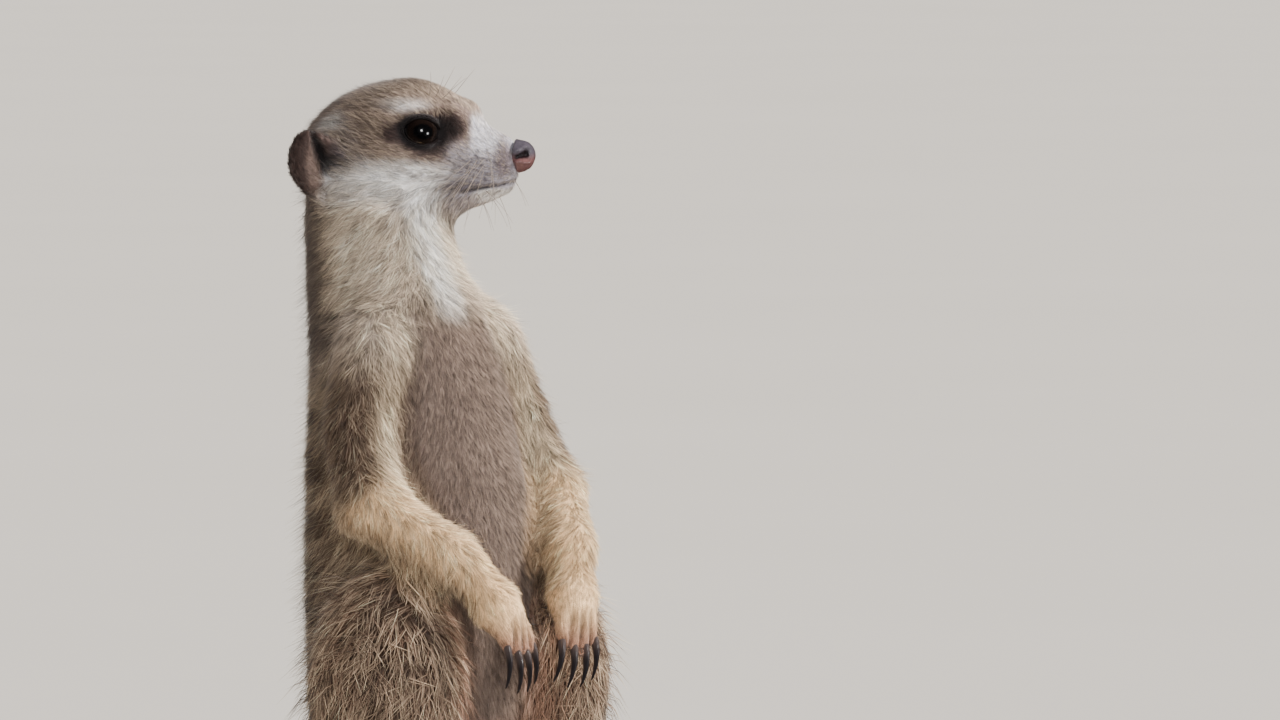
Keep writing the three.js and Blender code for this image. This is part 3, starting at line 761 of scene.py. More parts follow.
def welded_mesh(node_name, name):
    """A new mesh of a node, with its split corners joined."""
    bm = welded(node_name)
    mesh = bpy.data.meshes.new(name)
    bm.to_mesh(mesh)
    bm.free()
    return mesh


def sampled(bm):
    """Points spread over a mesh's triangles."""
    spots = []
    for face in bm.faces:
        a, b, c = (np.array(v.co) for v in face.verts[:3])
        steps = max(1, int(math.ceil(max(np.linalg.norm(b - a), np.linalg.norm(c - a)) / (SAMPLE_STEP * MM))))
        for i in range(steps):
            for j in range(steps - i):
                spots.append(a + (b - a) * (i + 1 / 3) / steps + (c - a) * (j + 1 / 3) / steps)
    return spots


def node_map():
    """A tree of spots on every flesh node, with each spot's node number."""
    meshes = {name: welded(name) for name in FLESH}
    spots, numbers = [], []
    for number, bm in enumerate(meshes.values()):
        found = sampled(bm)
        spots += found
        numbers += [number] * len(found)
    tree = KDTree(len(spots))
    for i, spot in enumerate(spots):
        tree.insert(spot, i)
    tree.balance()
    return meshes, tree, np.array(numbers)


def closed_over(meshes, tree, numbers):
    """All the flesh as one (points, faces) list, pushed over the seams, with the eyes and nose filled."""
    parts = []
    for number, bm in enumerate(meshes.values()):
        for v in bm.verts:
            near = tree.find_range(v.co, SEAM_REACH * MM)
            if any(numbers[i] != number for _, i, _ in near):
                v.co = v.co + v.normal * SEAM_PUSH * MM
        parts.append(bm)
    parts += [welded(name) for name in ("eye_right", "eye_left", "nose")]
    lists = []
    for bm in parts:
        bm.verts.index_update()
        faces = [[v.index for v in face.verts] for face in bm.faces]
        lists.append((np.array([v.co for v in bm.verts]), faces))
        bm.free()
    return lists


def only_largest_shell(bm):
    """Drops loose shells left inside the skin."""
    loose, keep = set(bm.verts), set()
    while loose:
        shell, edge = set(), {next(iter(loose))}
        while edge:
            shell |= edge
            edge = {e.other_vert(v) for v in edge for e in v.link_edges} - shell
        loose -= shell
        keep = max(keep, shell, key=len)
    bmesh.ops.delete(bm, geom=[v for v in bm.verts if v not in keep], context="VERTS")


def refine(bm, chosen):
    """Halves the grid where chosen says so."""
    edges = [e for e in bm.edges if chosen[e.verts[0].index] and chosen[e.verts[1].index]]
    bmesh.ops.subdivide_edges(bm, edges=edges, cuts=1, use_grid_fill=True)
    bmesh.ops.triangulate(bm, faces=[face for face in bm.faces if len(face.verts) > 4])


def nearest_nodes(points, tree, numbers):
    """The number of the flesh node nearest to each point."""
    return np.array([numbers[tree.find(p)[1]] for p in points])


def region_shares(web, labels, rounds):
    """How far each region reaches each point, blurred over the borders."""
    shares = np.zeros((len(labels), len(REGIONS)))
    for i, nodes in enumerate(REGIONS.values()):
        shares[np.isin(labels, [FLESH.index(n) for n in nodes]), i] = 1
    return web.spread(shares, rounds)


def lie_of(labels):
    """The way the hair lies, before smoothing."""
    backward = -FORWARD
    lies = {
        "head": backward,
        "jaw": backward + 0.5 * DOWN,
        "neck": DOWN + 0.7 * BACK,
        "chest": DOWN + 0.6 * BACK,
        "belly": DOWN + 0.4 * BACK,
        "hips": DOWN + 0.2 * BACK,
        "tail_base": toward("tail_base", "tail_middle"),
        "tail_middle": toward("tail_base", "tail_tip"),
        "tail_tip": toward("tail_middle", "tail_tip"),
    }
    for side in SIDES:
        lies[f"ear_{side}"] = LEFTWARD * MIRROR[side] + 0.7 * UP - 0.5 * FORWARD
        lies[f"upper_arm_{side}"] = toward(f"upper_arm_{side}", f"forearm_{side}") + 0.6 * DOWN + 0.4 * BACK
        lies[f"forearm_{side}"] = toward(f"forearm_{side}", f"hand_{side}") + 0.9 * BACK + 0.5 * DOWN
        lies[f"hand_{side}"] = toward(f"forearm_{side}", f"hand_{side}") + 0.4 * DOWN
        lies[f"thigh_{side}"] = DOWN + 0.2 * BACK
        lies[f"shank_{side}"] = toward(f"shank_{side}", f"foot_{side}")
        lies[f"foot_{side}"] = -BACK
    return unit(np.array([lies[name] for name in FLESH]))[labels]


def along(vectors, normals):
    """Vectors laid flat on the surface."""
    return unit(vectors - normals * dot(vectors, normals)[:, None])


# ---- the face

LID_BACK = 6.8  # reach of the lids' opening to its back corner, along the eyeball
LID_FRONT = 7.8
LID_HALF_HEIGHT = 4.5
LID_OVER = 0.5  # lids stand this far over the eyeball
LID_HIDDEN = 0.9  # the skin inside the opening goes this far into the eyeball
FAR_GAP = 20.0  # stands for "nowhere near the lids"
LID_TILT = 6.0  # the eye's front corner is this many degrees lower
EYE_SUNK = 1.0  # the eyes sit this far inside the outline's
EYE_FACING = (0.42, 0.9, 0.03)  # forward, outward, up
MOUTH_CORNER = (24.0, -12.2)  # forward and up
MOUTH_RISE = 0.18
MOUTH_END = 43.5
NOSE_TUCK = 0.5  # share of the nose pad's size that the skin under it keeps
DIGITS = 4
HAND_DIGIT = 10.0  # how far the furrows run back from the claws
FOOT_DIGIT = 17.0


def eye_axes(side):
    """The eye's outward axis, its axis along the lids and the one across them, as rows."""
    facing = unit(np.array(EYE_FACING) * (1, MIRROR[side], 1) @ HEAD_AXES)
    flat = unit(FORWARD - facing * (FORWARD @ facing))
    across = unit(UP - facing * (UP @ facing) - flat * (UP @ flat))
    turn = math.radians(LID_TILT)
    return np.array((facing, turned(flat, -across, turn), turned(across, flat, turn)))


EYE_SPOT = {side: EYE_AT[side] - eye_axes(side)[0] * EYE_SUNK * MM for side in SIDES}


def from_eye(points, side):
    """Millimetres from an eye's middle."""
    return np.linalg.norm(points - EYE_SPOT[side], axis=1) / MM


def lid_gap(points, side):
    """Millimetres outside the lids' opening, along the eyeball, with the rays to the points."""
    rays = unit(points - EYE_SPOT[side])
    facing, length, cross = (rays @ eye_axes(side).T).T
    polar = np.arccos(np.clip(facing, -1, 1))
    arc = EYE_RADIUS * polar / np.maximum(np.sin(polar), 1e-6)
    a = length * arc / np.where(length > 0, LID_FRONT, LID_BACK)
    b = cross * arc / LID_HALF_HEIGHT
    reach = (np.abs(a) ** np.where(length > 0, 1.45, 1.9) + np.abs(b) ** 2) ** (1 / 1.8)
    gap = (reach - 1) * (LID_BACK + LID_HALF_HEIGHT) / 2
    near = from_eye(points, side) < 2 * EYE_RADIUS
    return np.where((facing > -0.4) & near, gap, FAR_GAP), rays


def eye_distance(points, side):
    """How far points are from the lids' opening, along the eyeball and away from it, and their rays."""
    gap, rays = lid_gap(points, side)
    return gap + np.maximum(from_eye(points, side) - EYE_RADIUS - 1.0, 0), rays


def shape_lids(points):
    """Draws the skin over each eyeball into lids round an open eye."""
    for side in SIDES:
        gap, rays = lid_gap(points, side)
        out = from_eye(points, side)
        lid = EYE_RADIUS + LID_OVER + 0.3 * bell(gap - 1.2, 0.8)
        target = np.where(gap < 0, EYE_RADIUS - LID_HIDDEN, lid)
        near = ramp(gap, 5.0, 0.8) * ramp(out, EYE_RADIUS + 5.5, EYE_RADIUS + 3.5)
        moved = EYE_SPOT[side] + rays * mix(out, target, near)[:, None] * MM
        points = np.where((near > 0)[:, None], moved, points)
    return points


def nose_reach(points):
    """Distance from the nose pad's middle, 1 at its surface."""
    return np.linalg.norm((head_place(points) - np.array(NOSE_MIDDLE)) / np.array(NOSE_SIZE), axis=1)


def clear_nose(points):
    """Draws the end of the muzzle's skin in under the nose pad."""
    reach = nose_reach(points)
    f = head_place(points)[:, 0]
    share = ramp(reach, 1.2, 1.1) * ramp(f, 39.0, 40.4)
    wanted = mix(1.0, NOSE_TUCK, ramp(reach, 1.16, 1.02) * ramp(f, 39.4, 42.0)) / np.maximum(reach, 1.0)
    pad = from_head(NOSE_MIDDLE)
    return mix(points, pad + (points - pad) * wanted[:, None], share)


def digit_grooves(points, labels):
    """Depth share of the furrows between the digits of each paw, which is also the share of painted shade in
    them.
    """
    groove = np.zeros(len(points))
    for paw, length in (("hand", HAND_DIGIT), ("foot", FOOT_DIGIT)):
        for side in SIDES:
            name = f"{paw}_{side}"
            tips = np.array([claw_root(f"{name}_claw_{i}") for i in range(1, DIGITS + 1)])
            way = unit(tips.mean(axis=0) - middle(name))
            mine = labels == FLESH.index(name)
            off = points[mine][:, None, :] - tips[None]
            ahead = off @ way
            reach = np.sort(np.linalg.norm(off - ahead[..., None] * way, axis=2), axis=1) / MM
            run = ahead.mean(axis=1) / MM
            between = bell(reach[:, 1] - reach[:, 0], 0.8) * ramp(run, -length, -length * 0.6)
            groove[mine] = np.maximum(groove[mine], between)
    return groove


def claw_root(name):
    """Middle of the end of a claw that grows from its digit."""
    points = points_of(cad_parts[name].data)
    away = np.linalg.norm(points - middle(name.split("_claw_")[0]), axis=1)
    return points[away <= np.percentile(away, 30)].mean(axis=0)


def mouth_groove(points):
    """Depth share of the mouth's slit at each point."""
    f, _, u = seen_places(points)
    off = u - (MOUTH_CORNER[1] + MOUTH_RISE * (f - MOUTH_CORNER[0]))
    run = ramp(f, MOUTH_CORNER[0], MOUTH_CORNER[0] + 6) * ramp(f, MOUTH_END + 1, MOUTH_END)
    return bell(off, 0.6) * run


def first_skin():
    """One closed surface over all the flesh, its nodes' map, and each point's node and regions."""
    meshes, tree, numbers = node_map()
    whole = joined("skin", closed_over(meshes, tree, numbers))
    skin = evaluated(whole, "REMESH", mode="VOXEL", voxel_size=SKIN_STEP * MM)
    edited(skin, only_largest_shell)
    web = Web(skin)
    shares = region_shares(web, nearest_nodes(points_of(skin), tree, numbers), 6)
    fine = share_of(shares, "head", "ear", "hand", "foot")
    points = web.fair(points_of(skin), 8)
    set_points(skin, web.fair(points, 16, 1 - fine))
    edited(skin, lambda bm: refine(bm, fine > 0.5))
    web = Web(skin)
    set_points(skin, web.fair(points_of(skin), 3))
    labels = nearest_nodes(points_of(skin), tree, numbers)
    return skin, web, labels, region_shares(web, labels, 14)


def share_of(shares, *regions):
    """How far some regions together reach each point."""
    return shares[:, [list(REGIONS).index(name) for name in regions]].sum(axis=1)


def coat_sizes(points, normals, shares, head):
    """The coat's sizes at each point, from its region and its place."""
    f, _, u = head_place(points).T
    lids = [from_eye(points, side) for side in SIDES]
    trunk = share_of(shares, "neck", "chest", "flank", "rump")
    return layered(
        shares @ np.array([COAT[region] for region in REGIONS]),
        (CHEEK_COAT, ramp(f, 22, 12) * ramp(u, 0, -6) * head),
        (CROWN_COAT, ramp(u, 8, 14) * head),
        (BROW_COAT, ramp(f, 0, 12) * ramp(u, -8, 2) * head),
        (MUZZLE_COAT, ramp(f, 20, 33) * head),
        *[(LID_COAT, ramp(away, EYE_RADIUS + 6, EYE_RADIUS + 2.5)) for away in lids],
        (BELLY_COAT, belly_front(body_place(points), normals) * trunk),
    )


def make_skin():
    """One skin for all the flesh, under the outline by the depth of the coat."""
    skin, web, labels, shares = first_skin()
    points = points_of(skin)
    normals = unit(web.spread(normals_of(skin), 2))
    f, _, u = head_place(points).T
    head = share_of(shares, "head")
    sizes = web.spread(coat_sizes(points, normals, shares, head), 6)
    fan = (0.4 - 1.3 * ramp(u, -5, -13)) * head * ramp(f, -16, -8)
    lie = along(lie_of(labels) + UP * fan[:, None], normals)
    for _ in range(LIE_ROUNDS):
        lie = along((lie + web.mean(lie)) / 2, normals)
    for _ in range(INSET_STEPS):
        points = web.fair(points - normals * sizes[:, [0]] * MM / INSET_STEPS, 1)
        set_points(skin, points)
        normals = unit(web.spread(normals_of(skin), 1))
    points = clear_nose(shape_lids(points))
    set_points(skin, points)
    grooves = mouth_groove(points) * MOUTH_DEPTH + digit_grooves(points, labels) * DIGIT_DEPTH
    grooves = grooves + ear_slit(points) * share_of(shares, "ear") * SLIT_DEPTH
    points = points - normals_of(skin) * (grooves * MM)[:, None]
    set_points(skin, points)
    normals = normals_of(skin)
    for side in SIDES:
        gap, rays = eye_distance(points, side)
        away = np.exp(-np.maximum(gap, 0) / 3.0) * ramp(gap, 9.0, 6.0)
        radial = along(rays - eye_axes(side)[0], normals)
        lie = along(lie + radial * 1.6 * away[:, None], normals)
    return skin, labels, shares, sizes, lie, normals


def skin_piece(material):
    """The skin as a piece, with what the coat needs to know of it."""
    skin, labels, shares, sizes, lie, normals = make_skin()
    points = points_of(skin)
    gaps = np.minimum(*(eye_distance(points, side)[0] for side in SIDES))
    mouth = mouth_groove(points)
    colours = layered(markings(points, normals, shares), (SOOT, ramp(gaps, 2.4, 0.8)), (SOOT, mouth * 0.8))
    # painted shade in the furrows between the digits
    colours = mix(colours, colours * 0.45, digit_grooves(points, labels))
    under = mix(colours, colours * ROOT_SHADE, ramp(sizes[:, 0], 1.6, 3.6))
    paint(skin, "coat_colour", under)
    layer = skin.attributes.new("lie", "FLOAT_VECTOR", "POINT")
    layer.data.foreach_set("vector", lie.astype(np.float32).ravel())
    piece = place("skin", skin, material)
    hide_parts(*FLESH)
    triangles = triangles_of(skin)
    covered = ramp(gaps, 0.5, 1.3) * ramp(nose_reach(points), 1.02, 1.12) * (1 - 0.8 * mouth)
    places = body_place(points)
    # the short-haired belly front, and the nape, whose hair tips are kept dark to hold its painted shade
    short = np.maximum(belly_front(places, normals), nape_dark_fur_and_shade(places, normals))
    return {
        "points": points,
        "normals": normals,
        "triangles": triangles,
        "tree": BVHTree.FromPolygons(points.tolist(), triangles.tolist()),
        "labels": labels,
        "sizes": sizes,
        "lie": lie,
        "colours": colours,
        "density": sizes[:, SIZES.index("dense")] * covered,
        "pale": mix(shares @ np.array([TIP_PALE[name] for name in REGIONS]), 0.08, short),
    }


# ---- the coat

PATCH = 0.003  # a lock's patch on the unwrap
CLUMP = 7  # locks that lean together
CLUMP_PULL = 0.5
LENGTHS, WIDTHS, HEIGHTS = (0.72, 1.22), (0.8, 1.2), (0.62, 1.12)  # shares of a lock's usual size
LIGHTS = (0.4, 1.6)  # shares of a tip's usual paleness
OWN_SWING, CLUMP_SWING = 0.22, 0.34  # how far a lock's and a clump's shade varies
TICKED = 0.28  # share of locks with a dark tip
TICK_TIP, TICK_LOW = 0.45, 0.6
BRIGHT = 0.55  # share of the strays, hairs that stand out, that are pale
STRAY_WIDTH, STRAY_LENGTH, STRAY_LEAN = 0.62, 1.05, 26  # the lean in degrees
STRAY_DARK, STRAY_PALE = 0.6, 0.8
ROOT_SUNK = 0.3  # roots start this far under the skin
STRAY_FROM, STRAY_DRAW = 55, 0.6  # hairs further out to the side than this are drawn in
FLOOR_GAP = 0.35  # hairs stay this far above the floor
SIDES_OF_LOCK = 3


def chart(points, labels, chosen):
    """Each point's place on the unwrap: a tube round each node's own length, nodes side by side in cells."""
    across_count = int(math.ceil(math.sqrt(len(chosen))))
    down_count = int(math.ceil(len(chosen) / across_count))
    uv = np.zeros((len(points), 2))
    table = lie_of(np.arange(len(FLESH)))
    for k, number in enumerate(chosen):
        mine = labels == number
        if not mine.any():
            continue
        axis = table[number]
        side = unit(np.cross(axis, UP + 0.37 * BACK))
        other = np.cross(axis, side)
        local = points[mine] - middle(FLESH[number])
        angle = np.arctan2(local @ other, local @ side) / (2 * math.pi) + 0.5
        height = local @ axis
        height = (height - height.min()) / max(np.ptp(height), 1e-9)
        cell = np.array((k % across_count, k // across_count), float)
        spot = 0.02 + 0.96 * np.stack((angle, height), axis=1)
        uv[mine] = (cell + spot) / (across_count, down_count)
    return uv


def lock_pattern(stations):
    """Faces of one closed lock with 3 sides, and the place of every face corner on its patch."""
    corners, starts, spots = [], [], []
    n = SIDES_OF_LOCK
    for ring in range(stations - 2):
        low, high = ring / (stations - 1), (ring + 1) / (stations - 1)
        for j in range(n):
            k = (j + 1) % n
            starts.append(len(corners))
            corners += [ring * n + j, ring * n + k, (ring + 1) * n + k, (ring + 1) * n + j]
            spots += [(j / n, low), ((j + 1) / n, low), ((j + 1) / n, high), (j / n, high)]
    last, tip = (stations - 2) * n, (stations - 1) * n
    low = (stations - 2) / (stations - 1)
    for j in range(n):
        k = (j + 1) % n
        starts.append(len(corners))
        corners += [last + j, last + k, tip]
        spots += [(j / n, low), ((j + 1) / n, low), ((j + 0.5) / n, 1)]
    starts.append(len(corners))
    corners += [2, 1, 0]
    spots += [(0.0, 0.0), (0.5, -0.12), (1.0, 0.0)]
    return np.array(corners), np.array(starts), np.array(spots)


def lock_width(t):
    """Half width of a lock along its length, as a share of its widest."""
    return 0.5 * (0.6 + 0.4 * np.sin(np.minimum(t * 2.4, 1) * math.pi / 2)) * (1 - t**2.2)


def choose_roots(skin, chosen_faces, count, rng):
    """Faces and spots in them for the locks' roots, by area and density."""
    triangles = skin["triangles"][chosen_faces]
    corners = skin["points"][triangles]
    area = np.linalg.norm(np.cross(corners[:, 1] - corners[:, 0], corners[:, 2] - corners[:, 0]), axis=1)
    weight = area * skin["density"][triangles].mean(axis=1)
    edge = np.cumsum(weight)
    picks = (np.arange(count) + rng.random(count)) / count * edge[-1]
    face = np.minimum(np.searchsorted(edge, picks), len(triangles) - 1)
    r, s = np.sqrt(rng.random(count)), rng.random(count)
    shares = np.stack((1 - r, r * (1 - s), r * s), axis=1)
    return triangles[face], shares


def spread_over(span, count, rng):
    """Random values between two ends."""
    low, high = span
    return low + (high - low) * rng.random(count)


def blend_of(values, triangles, shares):
    """A skin value at spots inside triangles."""
    picked = values[triangles]
    if picked.ndim == 2:
        return (picked * shares).sum(axis=1)
    return (picked * shares[:, :, None]).sum(axis=1)


def walk(start, lie, step, tree):
    """The skin's points and normals one step further along the lie."""
    feet, normals = np.empty_like(start), np.empty_like(start)
    hits = np.empty(len(start), int)
    for i, spot in enumerate(start + lie * step[:, None]):
        feet[i], normals[i], hits[i], _ = tree.find_nearest(Vector(spot))
    return feet, normals, hits


def lock_lines(root, normal, lie, length, depth, wild, stations, tree, rng):
    """Centre lines of locks that follow the skin, a share of them standing out, and the faces under them."""
    count = len(root)
    hits = np.empty((count, stations - 1), int)
    lines, outs = np.empty((2, count, stations, 3))
    lines[:, 0] = root - normal * ROOT_SUNK * MM
    outs[:, 0] = normal
    foot, heading = root, lie
    step = length / (stations - 1) * MM
    top = depth * spread_over(HEIGHTS, count, rng)
    for k in range(1, stations):
        t = k / (stations - 1)
        foot, out, hits[:, k - 1] = walk(foot, heading, step, tree)
        heading = along(heading, out)
        height = top * (1 - (1 - t) ** 1.6)
        lines[:, k] = foot + out * (height * MM)[:, None]
        outs[:, k] = out
    lean = np.radians(STRAY_LEAN + 12 * np.minimum(depth, 4.5) * rng.random(count))
    for k in range(1, stations):
        t = k / (stations - 1)
        angle = lean * (1.25 - 0.5 * t)
        rise = lie * np.cos(angle)[:, None] + normal * np.sin(angle)[:, None]
        standing = root + rise * (length * STRAY_LENGTH * t * MM)[:, None]
        lines[:, k] = np.where(wild[:, None], standing, lines[:, k])
    return lines, outs, hits


def covered_by(name, skin, chosen):
    """Which of the skin's triangles a coat piece covers."""
    wanted = np.isin(skin["labels"], chosen)
    on_head = np.isin(skin["labels"], [FLESH.index(part) for part in REGIONS["head"]])
    on_face = on_head & (head_place(skin["points"])[:, 0] > FACE_FROM)
    if name == "coat_face":
        wanted &= on_face
    if name == "coat_crown":
        wanted &= ~on_face
    return wanted[skin["triangles"][:, 0]]


def coat_piece(name, skin, material, rng):
    """One piece of the coat: closed locks over part of the skin."""
    regions, count, rings, slot = COAT_PIECES[name]
    stations = rings + 1
    chosen = [i for i, n in enumerate(FLESH) if any(n in REGIONS[r] for r in regions)]
    triangles, shares = choose_roots(skin, covered_by(name, skin, chosen), count, rng)
    keys = ("points", "normals", "lie", "sizes", "colours", "pale")
    root, normal, lie, sizes, root_colour, pale = (blend_of(skin[key], triangles, shares) for key in keys)
    normal = unit(normal)
    lie = along(lie, normal)
    depth, length, width, disorder, wild_share, _ = sizes.T
    lead = leaders(root, rng)
    swing = (rng.normal(size=count)[lead] + 0.5 * rng.normal(size=count)) * disorder
    lie = lie * np.cos(swing)[:, None] + np.cross(normal, lie) * np.sin(swing)[:, None]
    length = spread_over(LENGTHS, count, rng) * length
    wild = rng.random(count) < wild_share
    width = np.where(wild, width * STRAY_WIDTH, width * spread_over(WIDTHS, count, rng))
    lines, outs, hits = lock_lines(root, normal, lie, length, depth, wild, stations, skin["tree"], rng)
    pull = np.linspace(0, 1, stations)[None, :, None] ** 1.4 * CLUMP_PULL
    pull = pull * (~wild)[:, None, None] * (~wild)[lead][:, None, None]
    lines = kept_in(lines + (lines[lead] - lines) * pull)
    mesh = lock_mesh(name, lines, outs, width, stations)
    uv_roots = chart(root, skin["labels"][triangles[:, 0]], chosen)
    uv = uv_roots[:, None, :] + (lock_pattern(stations)[2][None] - 0.5) * PATCH
    layer = mesh.uv_layers.new(name="OFBake")
    layer.data.foreach_set("uv", uv.astype(np.float32).ravel())
    shades = [root_colour, *(skin["colours"][skin["triangles"][column, 0]] for column in hits.T)]
    paint(mesh, "coat_colour", lock_colours(shades, depth, pale, wild, lead, rng))
    place(name, mesh, material)


def kept_in(lines):
    """Lock lines kept off the floor, with the widest strays drawn in."""
    across = np.abs(lines[..., 0])
    spare = np.maximum(across - STRAY_FROM * MM, 0) * STRAY_DRAW
    kept = lines.copy()
    kept[..., 0] -= np.sign(lines[..., 0]) * spare
    kept[..., 2] = np.maximum(lines[..., 2], FLOOR_GAP * MM)
    return kept


def leaders(root, rng):
    """For each lock, the lock at the middle of its clump."""
    middles = rng.choice(len(root), max(1, len(root) // CLUMP), replace=False)
    tree = KDTree(len(middles))
    for i in middles:
        tree.insert(root[i], int(i))
    tree.balance()
    return np.array([tree.find(spot)[1] for spot in root])


def lock_mesh(name, lines, outs, width, stations):
    """Closed three-sided locks round their centre lines."""
    count = len(lines)
    ways = np.empty_like(lines)
    ways[:, 1:] = lines[:, 1:] - lines[:, :-1]
    ways[:, 0] = ways[:, 1]
    ways = unit(ways)
    side = unit(np.cross(outs, ways))
    over = np.cross(ways, side)
    rings, shine = [], []
    for k in range(stations - 1):
        half = width * lock_width(k / (stations - 1)) * MM
        for j in range(SIDES_OF_LOCK):
            angle = math.radians(90 + 360 * j / SIDES_OF_LOCK)
            ray = turned(side[:, k], over[:, k], angle)
            rings.append(lines[:, k] + ray * half[:, None])
            shine.append(unit(outs[:, k] * 1.2 + ray))
    rings.append(lines[:, -1])
    shine.append(unit(outs[:, -1] + ways[:, -1] * 0.3))
    points = np.stack(rings, axis=1)
    corners, starts, _ = lock_pattern(stations)
    per = points.shape[1]
    all_corners = (np.arange(count)[:, None] * per + corners[None]).ravel()
    all_starts = (np.arange(count)[:, None] * len(corners) + starts[None]).ravel()
    mesh = mesh_from(name, points.reshape(-1, 3), all_corners, all_starts)
    mesh.normals_split_custom_set_from_vertices(np.stack(shine, axis=1).reshape(-1, 3).astype(np.float32))
    return mesh


def lock_colours(shades, depth, pale, wild, lead, rng):
    """Colour of every point of every lock, from its shades along the way: dark root, pale or dark tip."""
    count, stations = len(depth), len(shades)
    swing = OWN_SWING * rng.normal(size=count) + CLUMP_SWING * rng.normal(size=count)[lead]
    shade = np.clip(1 + swing, 0.4, 1.9)[:, None]
    ticked = (rng.random(count) < TICKED) & (pale > 0.2)
    light = (pale * spread_over(LIGHTS, count, rng)).clip(0, 1)
    root_shade = mix(0.85, ROOT_SHADE, ramp(depth, 1.0, 3.6))[:, None]
    bright = ramp(pale, 0.36, 0.42) * (rng.random(count) < BRIGHT)
    rows = []
    for k, colour in enumerate(shades):
        t = k / (stations - 1)
        tip = mix(colour, CREAM, light * ramp(colour.mean(axis=1), 0.04, 0.13))
        tip = np.where(ticked[:, None], colour * TICK_TIP, tip)
        stray = mix(colour * STRAY_DARK, mix(colour, CREAM, STRAY_PALE), bright)
        tip = np.where(wild[:, None], stray, tip)
        low = colour * mix(root_shade, 1.0, ramp(t, 0.0, 0.6)) * np.where(ticked, TICK_LOW, 1.0)[:, None]
        rows += [mix(low, tip, ramp(t, 0.3, 1.0)) * shade] * (SIDES_OF_LOCK if k < stations - 1 else 1)
    return np.stack(rows, axis=1).reshape(-1, 3)


def make_coat(skin, material):
    """Every coat piece."""
    for k, name in enumerate(COAT_PIECES):
        coat_piece(name, skin, material, np.random.default_rng(SEED + k))


# ---- eyes, lids, nose, claws, whiskers

NOSE_STEP = 0.32  # the nose pad's grid
NOSE_ROUNDS = 22
NOSTRIL = ((47.2, 3.5, -0.2), (42.6, 5.0, -1.4))  # head places of its two ends
CLAW_SWELL = 0.12
RIM_HALF_WIDTH = 0.4  # of the lids' rims


def tube(path, radii, sides=8, closed=False):
    """Points and faces of a tube along a path."""
    path = np.asarray(path, float)
    ahead = np.roll(path, -1, axis=0) - np.roll(path, 1, axis=0)
    if not closed:
        ahead[0], ahead[-1] = path[1] - path[0], path[-1] - path[-2]
    ahead = unit(ahead)
    side = unit(np.cross(UP + 0.2 * FORWARD, ahead))
    over = np.cross(ahead, side)
    count = len(path)
    points, faces = [], []
    for i in range(count):
        for j in range(sides):
            angle = 2 * math.pi * j / sides
            points.append(path[i] + turned(side[i], over[i], angle) * radii[i])
    for i in range(count if closed else count - 1):
        k = (i + 1) % count
        for j in range(sides):
            m = (j + 1) % sides
            faces.append((i * sides + j, i * sides + m, k * sides + m, k * sides + j))
    if not closed:
        faces.append(tuple(range(sides))[::-1])
        faces.append(tuple((count - 1) * sides + j for j in range(sides)))
    return np.array(points), faces


def eyeball(side, rings=36, around=48):
    """A round eye with a bulging cornea, dark iris and pupil."""
    facing, length, cross = eye_axes(side)
    points, colours, faces = [], [], []
    for i in range(rings + 1):
        polar = math.pi * i / rings
        radius = EYE_RADIUS - 0.12 + 0.38 * math.exp(-((polar / 0.62) ** 2))
        for j in range(around):
            turn = 2 * math.pi * j / around
            ray = turned(facing, turned(length, cross, turn), polar)
            points.append(EYE_SPOT[side] + ray * radius * MM)
            flat = math.hypot(math.cos(turn) * 0.8, math.sin(turn) * 1.1)
            pupil = float(ramp(polar * flat, 0.44, 0.36))
            iris = float(ramp(polar, 0.86, 0.76))
            colour = mix(tone(12, 10, 11), tone(18, 12, 10), iris)
            colours.append(mix(colour, tone(4, 4, 5), pupil))
    for i in range(rings):
        for j in range(around):
            k = (j + 1) % around
            faces.append((i * around + j, (i + 1) * around + j, (i + 1) * around + k, i * around + k))
    return np.array(points), faces, np.array(colours)


def lid_edge(side, turn):
    """Where the lids' opening ends on the eyeball, in a direction round the eye."""
    facing, length, cross = eye_axes(side)
    around = turned(length, cross, turn)
    near, far = 0.01, math.pi / 2
    for _ in range(20):
        angle = (near + far) / 2
        spot = EYE_SPOT[side] + turned(facing, around, angle) * (EYE_RADIUS + 0.2) * MM
        inside = lid_gap(spot[None], side)[0][0] < 0
        near, far = (angle, far) if inside else (near, angle)
    return spot


def make_eyes(gloss, lid_skin):
    """Both eyes and the rims of their lids."""
    for side in SIDES:
        points, faces, colours = eyeball(side)
        mesh = joined(f"eyeball_{side}", [(points, faces)])
        paint(mesh, "coat_colour", colours)
        piece = place(f"eyeball_{side}", mesh, gloss)
        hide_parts(f"eye_{side}")
        path = np.array([lid_edge(side, turn) for turn in np.linspace(0, 2 * math.pi, 60, endpoint=False)])
        radii = np.full(len(path), RIM_HALF_WIDTH * MM)
        rim = joined(f"lid_rim_{side}", [tube(path, radii, 8, closed=True)])
        place(f"lid_rim_{side}", rim, lid_skin)


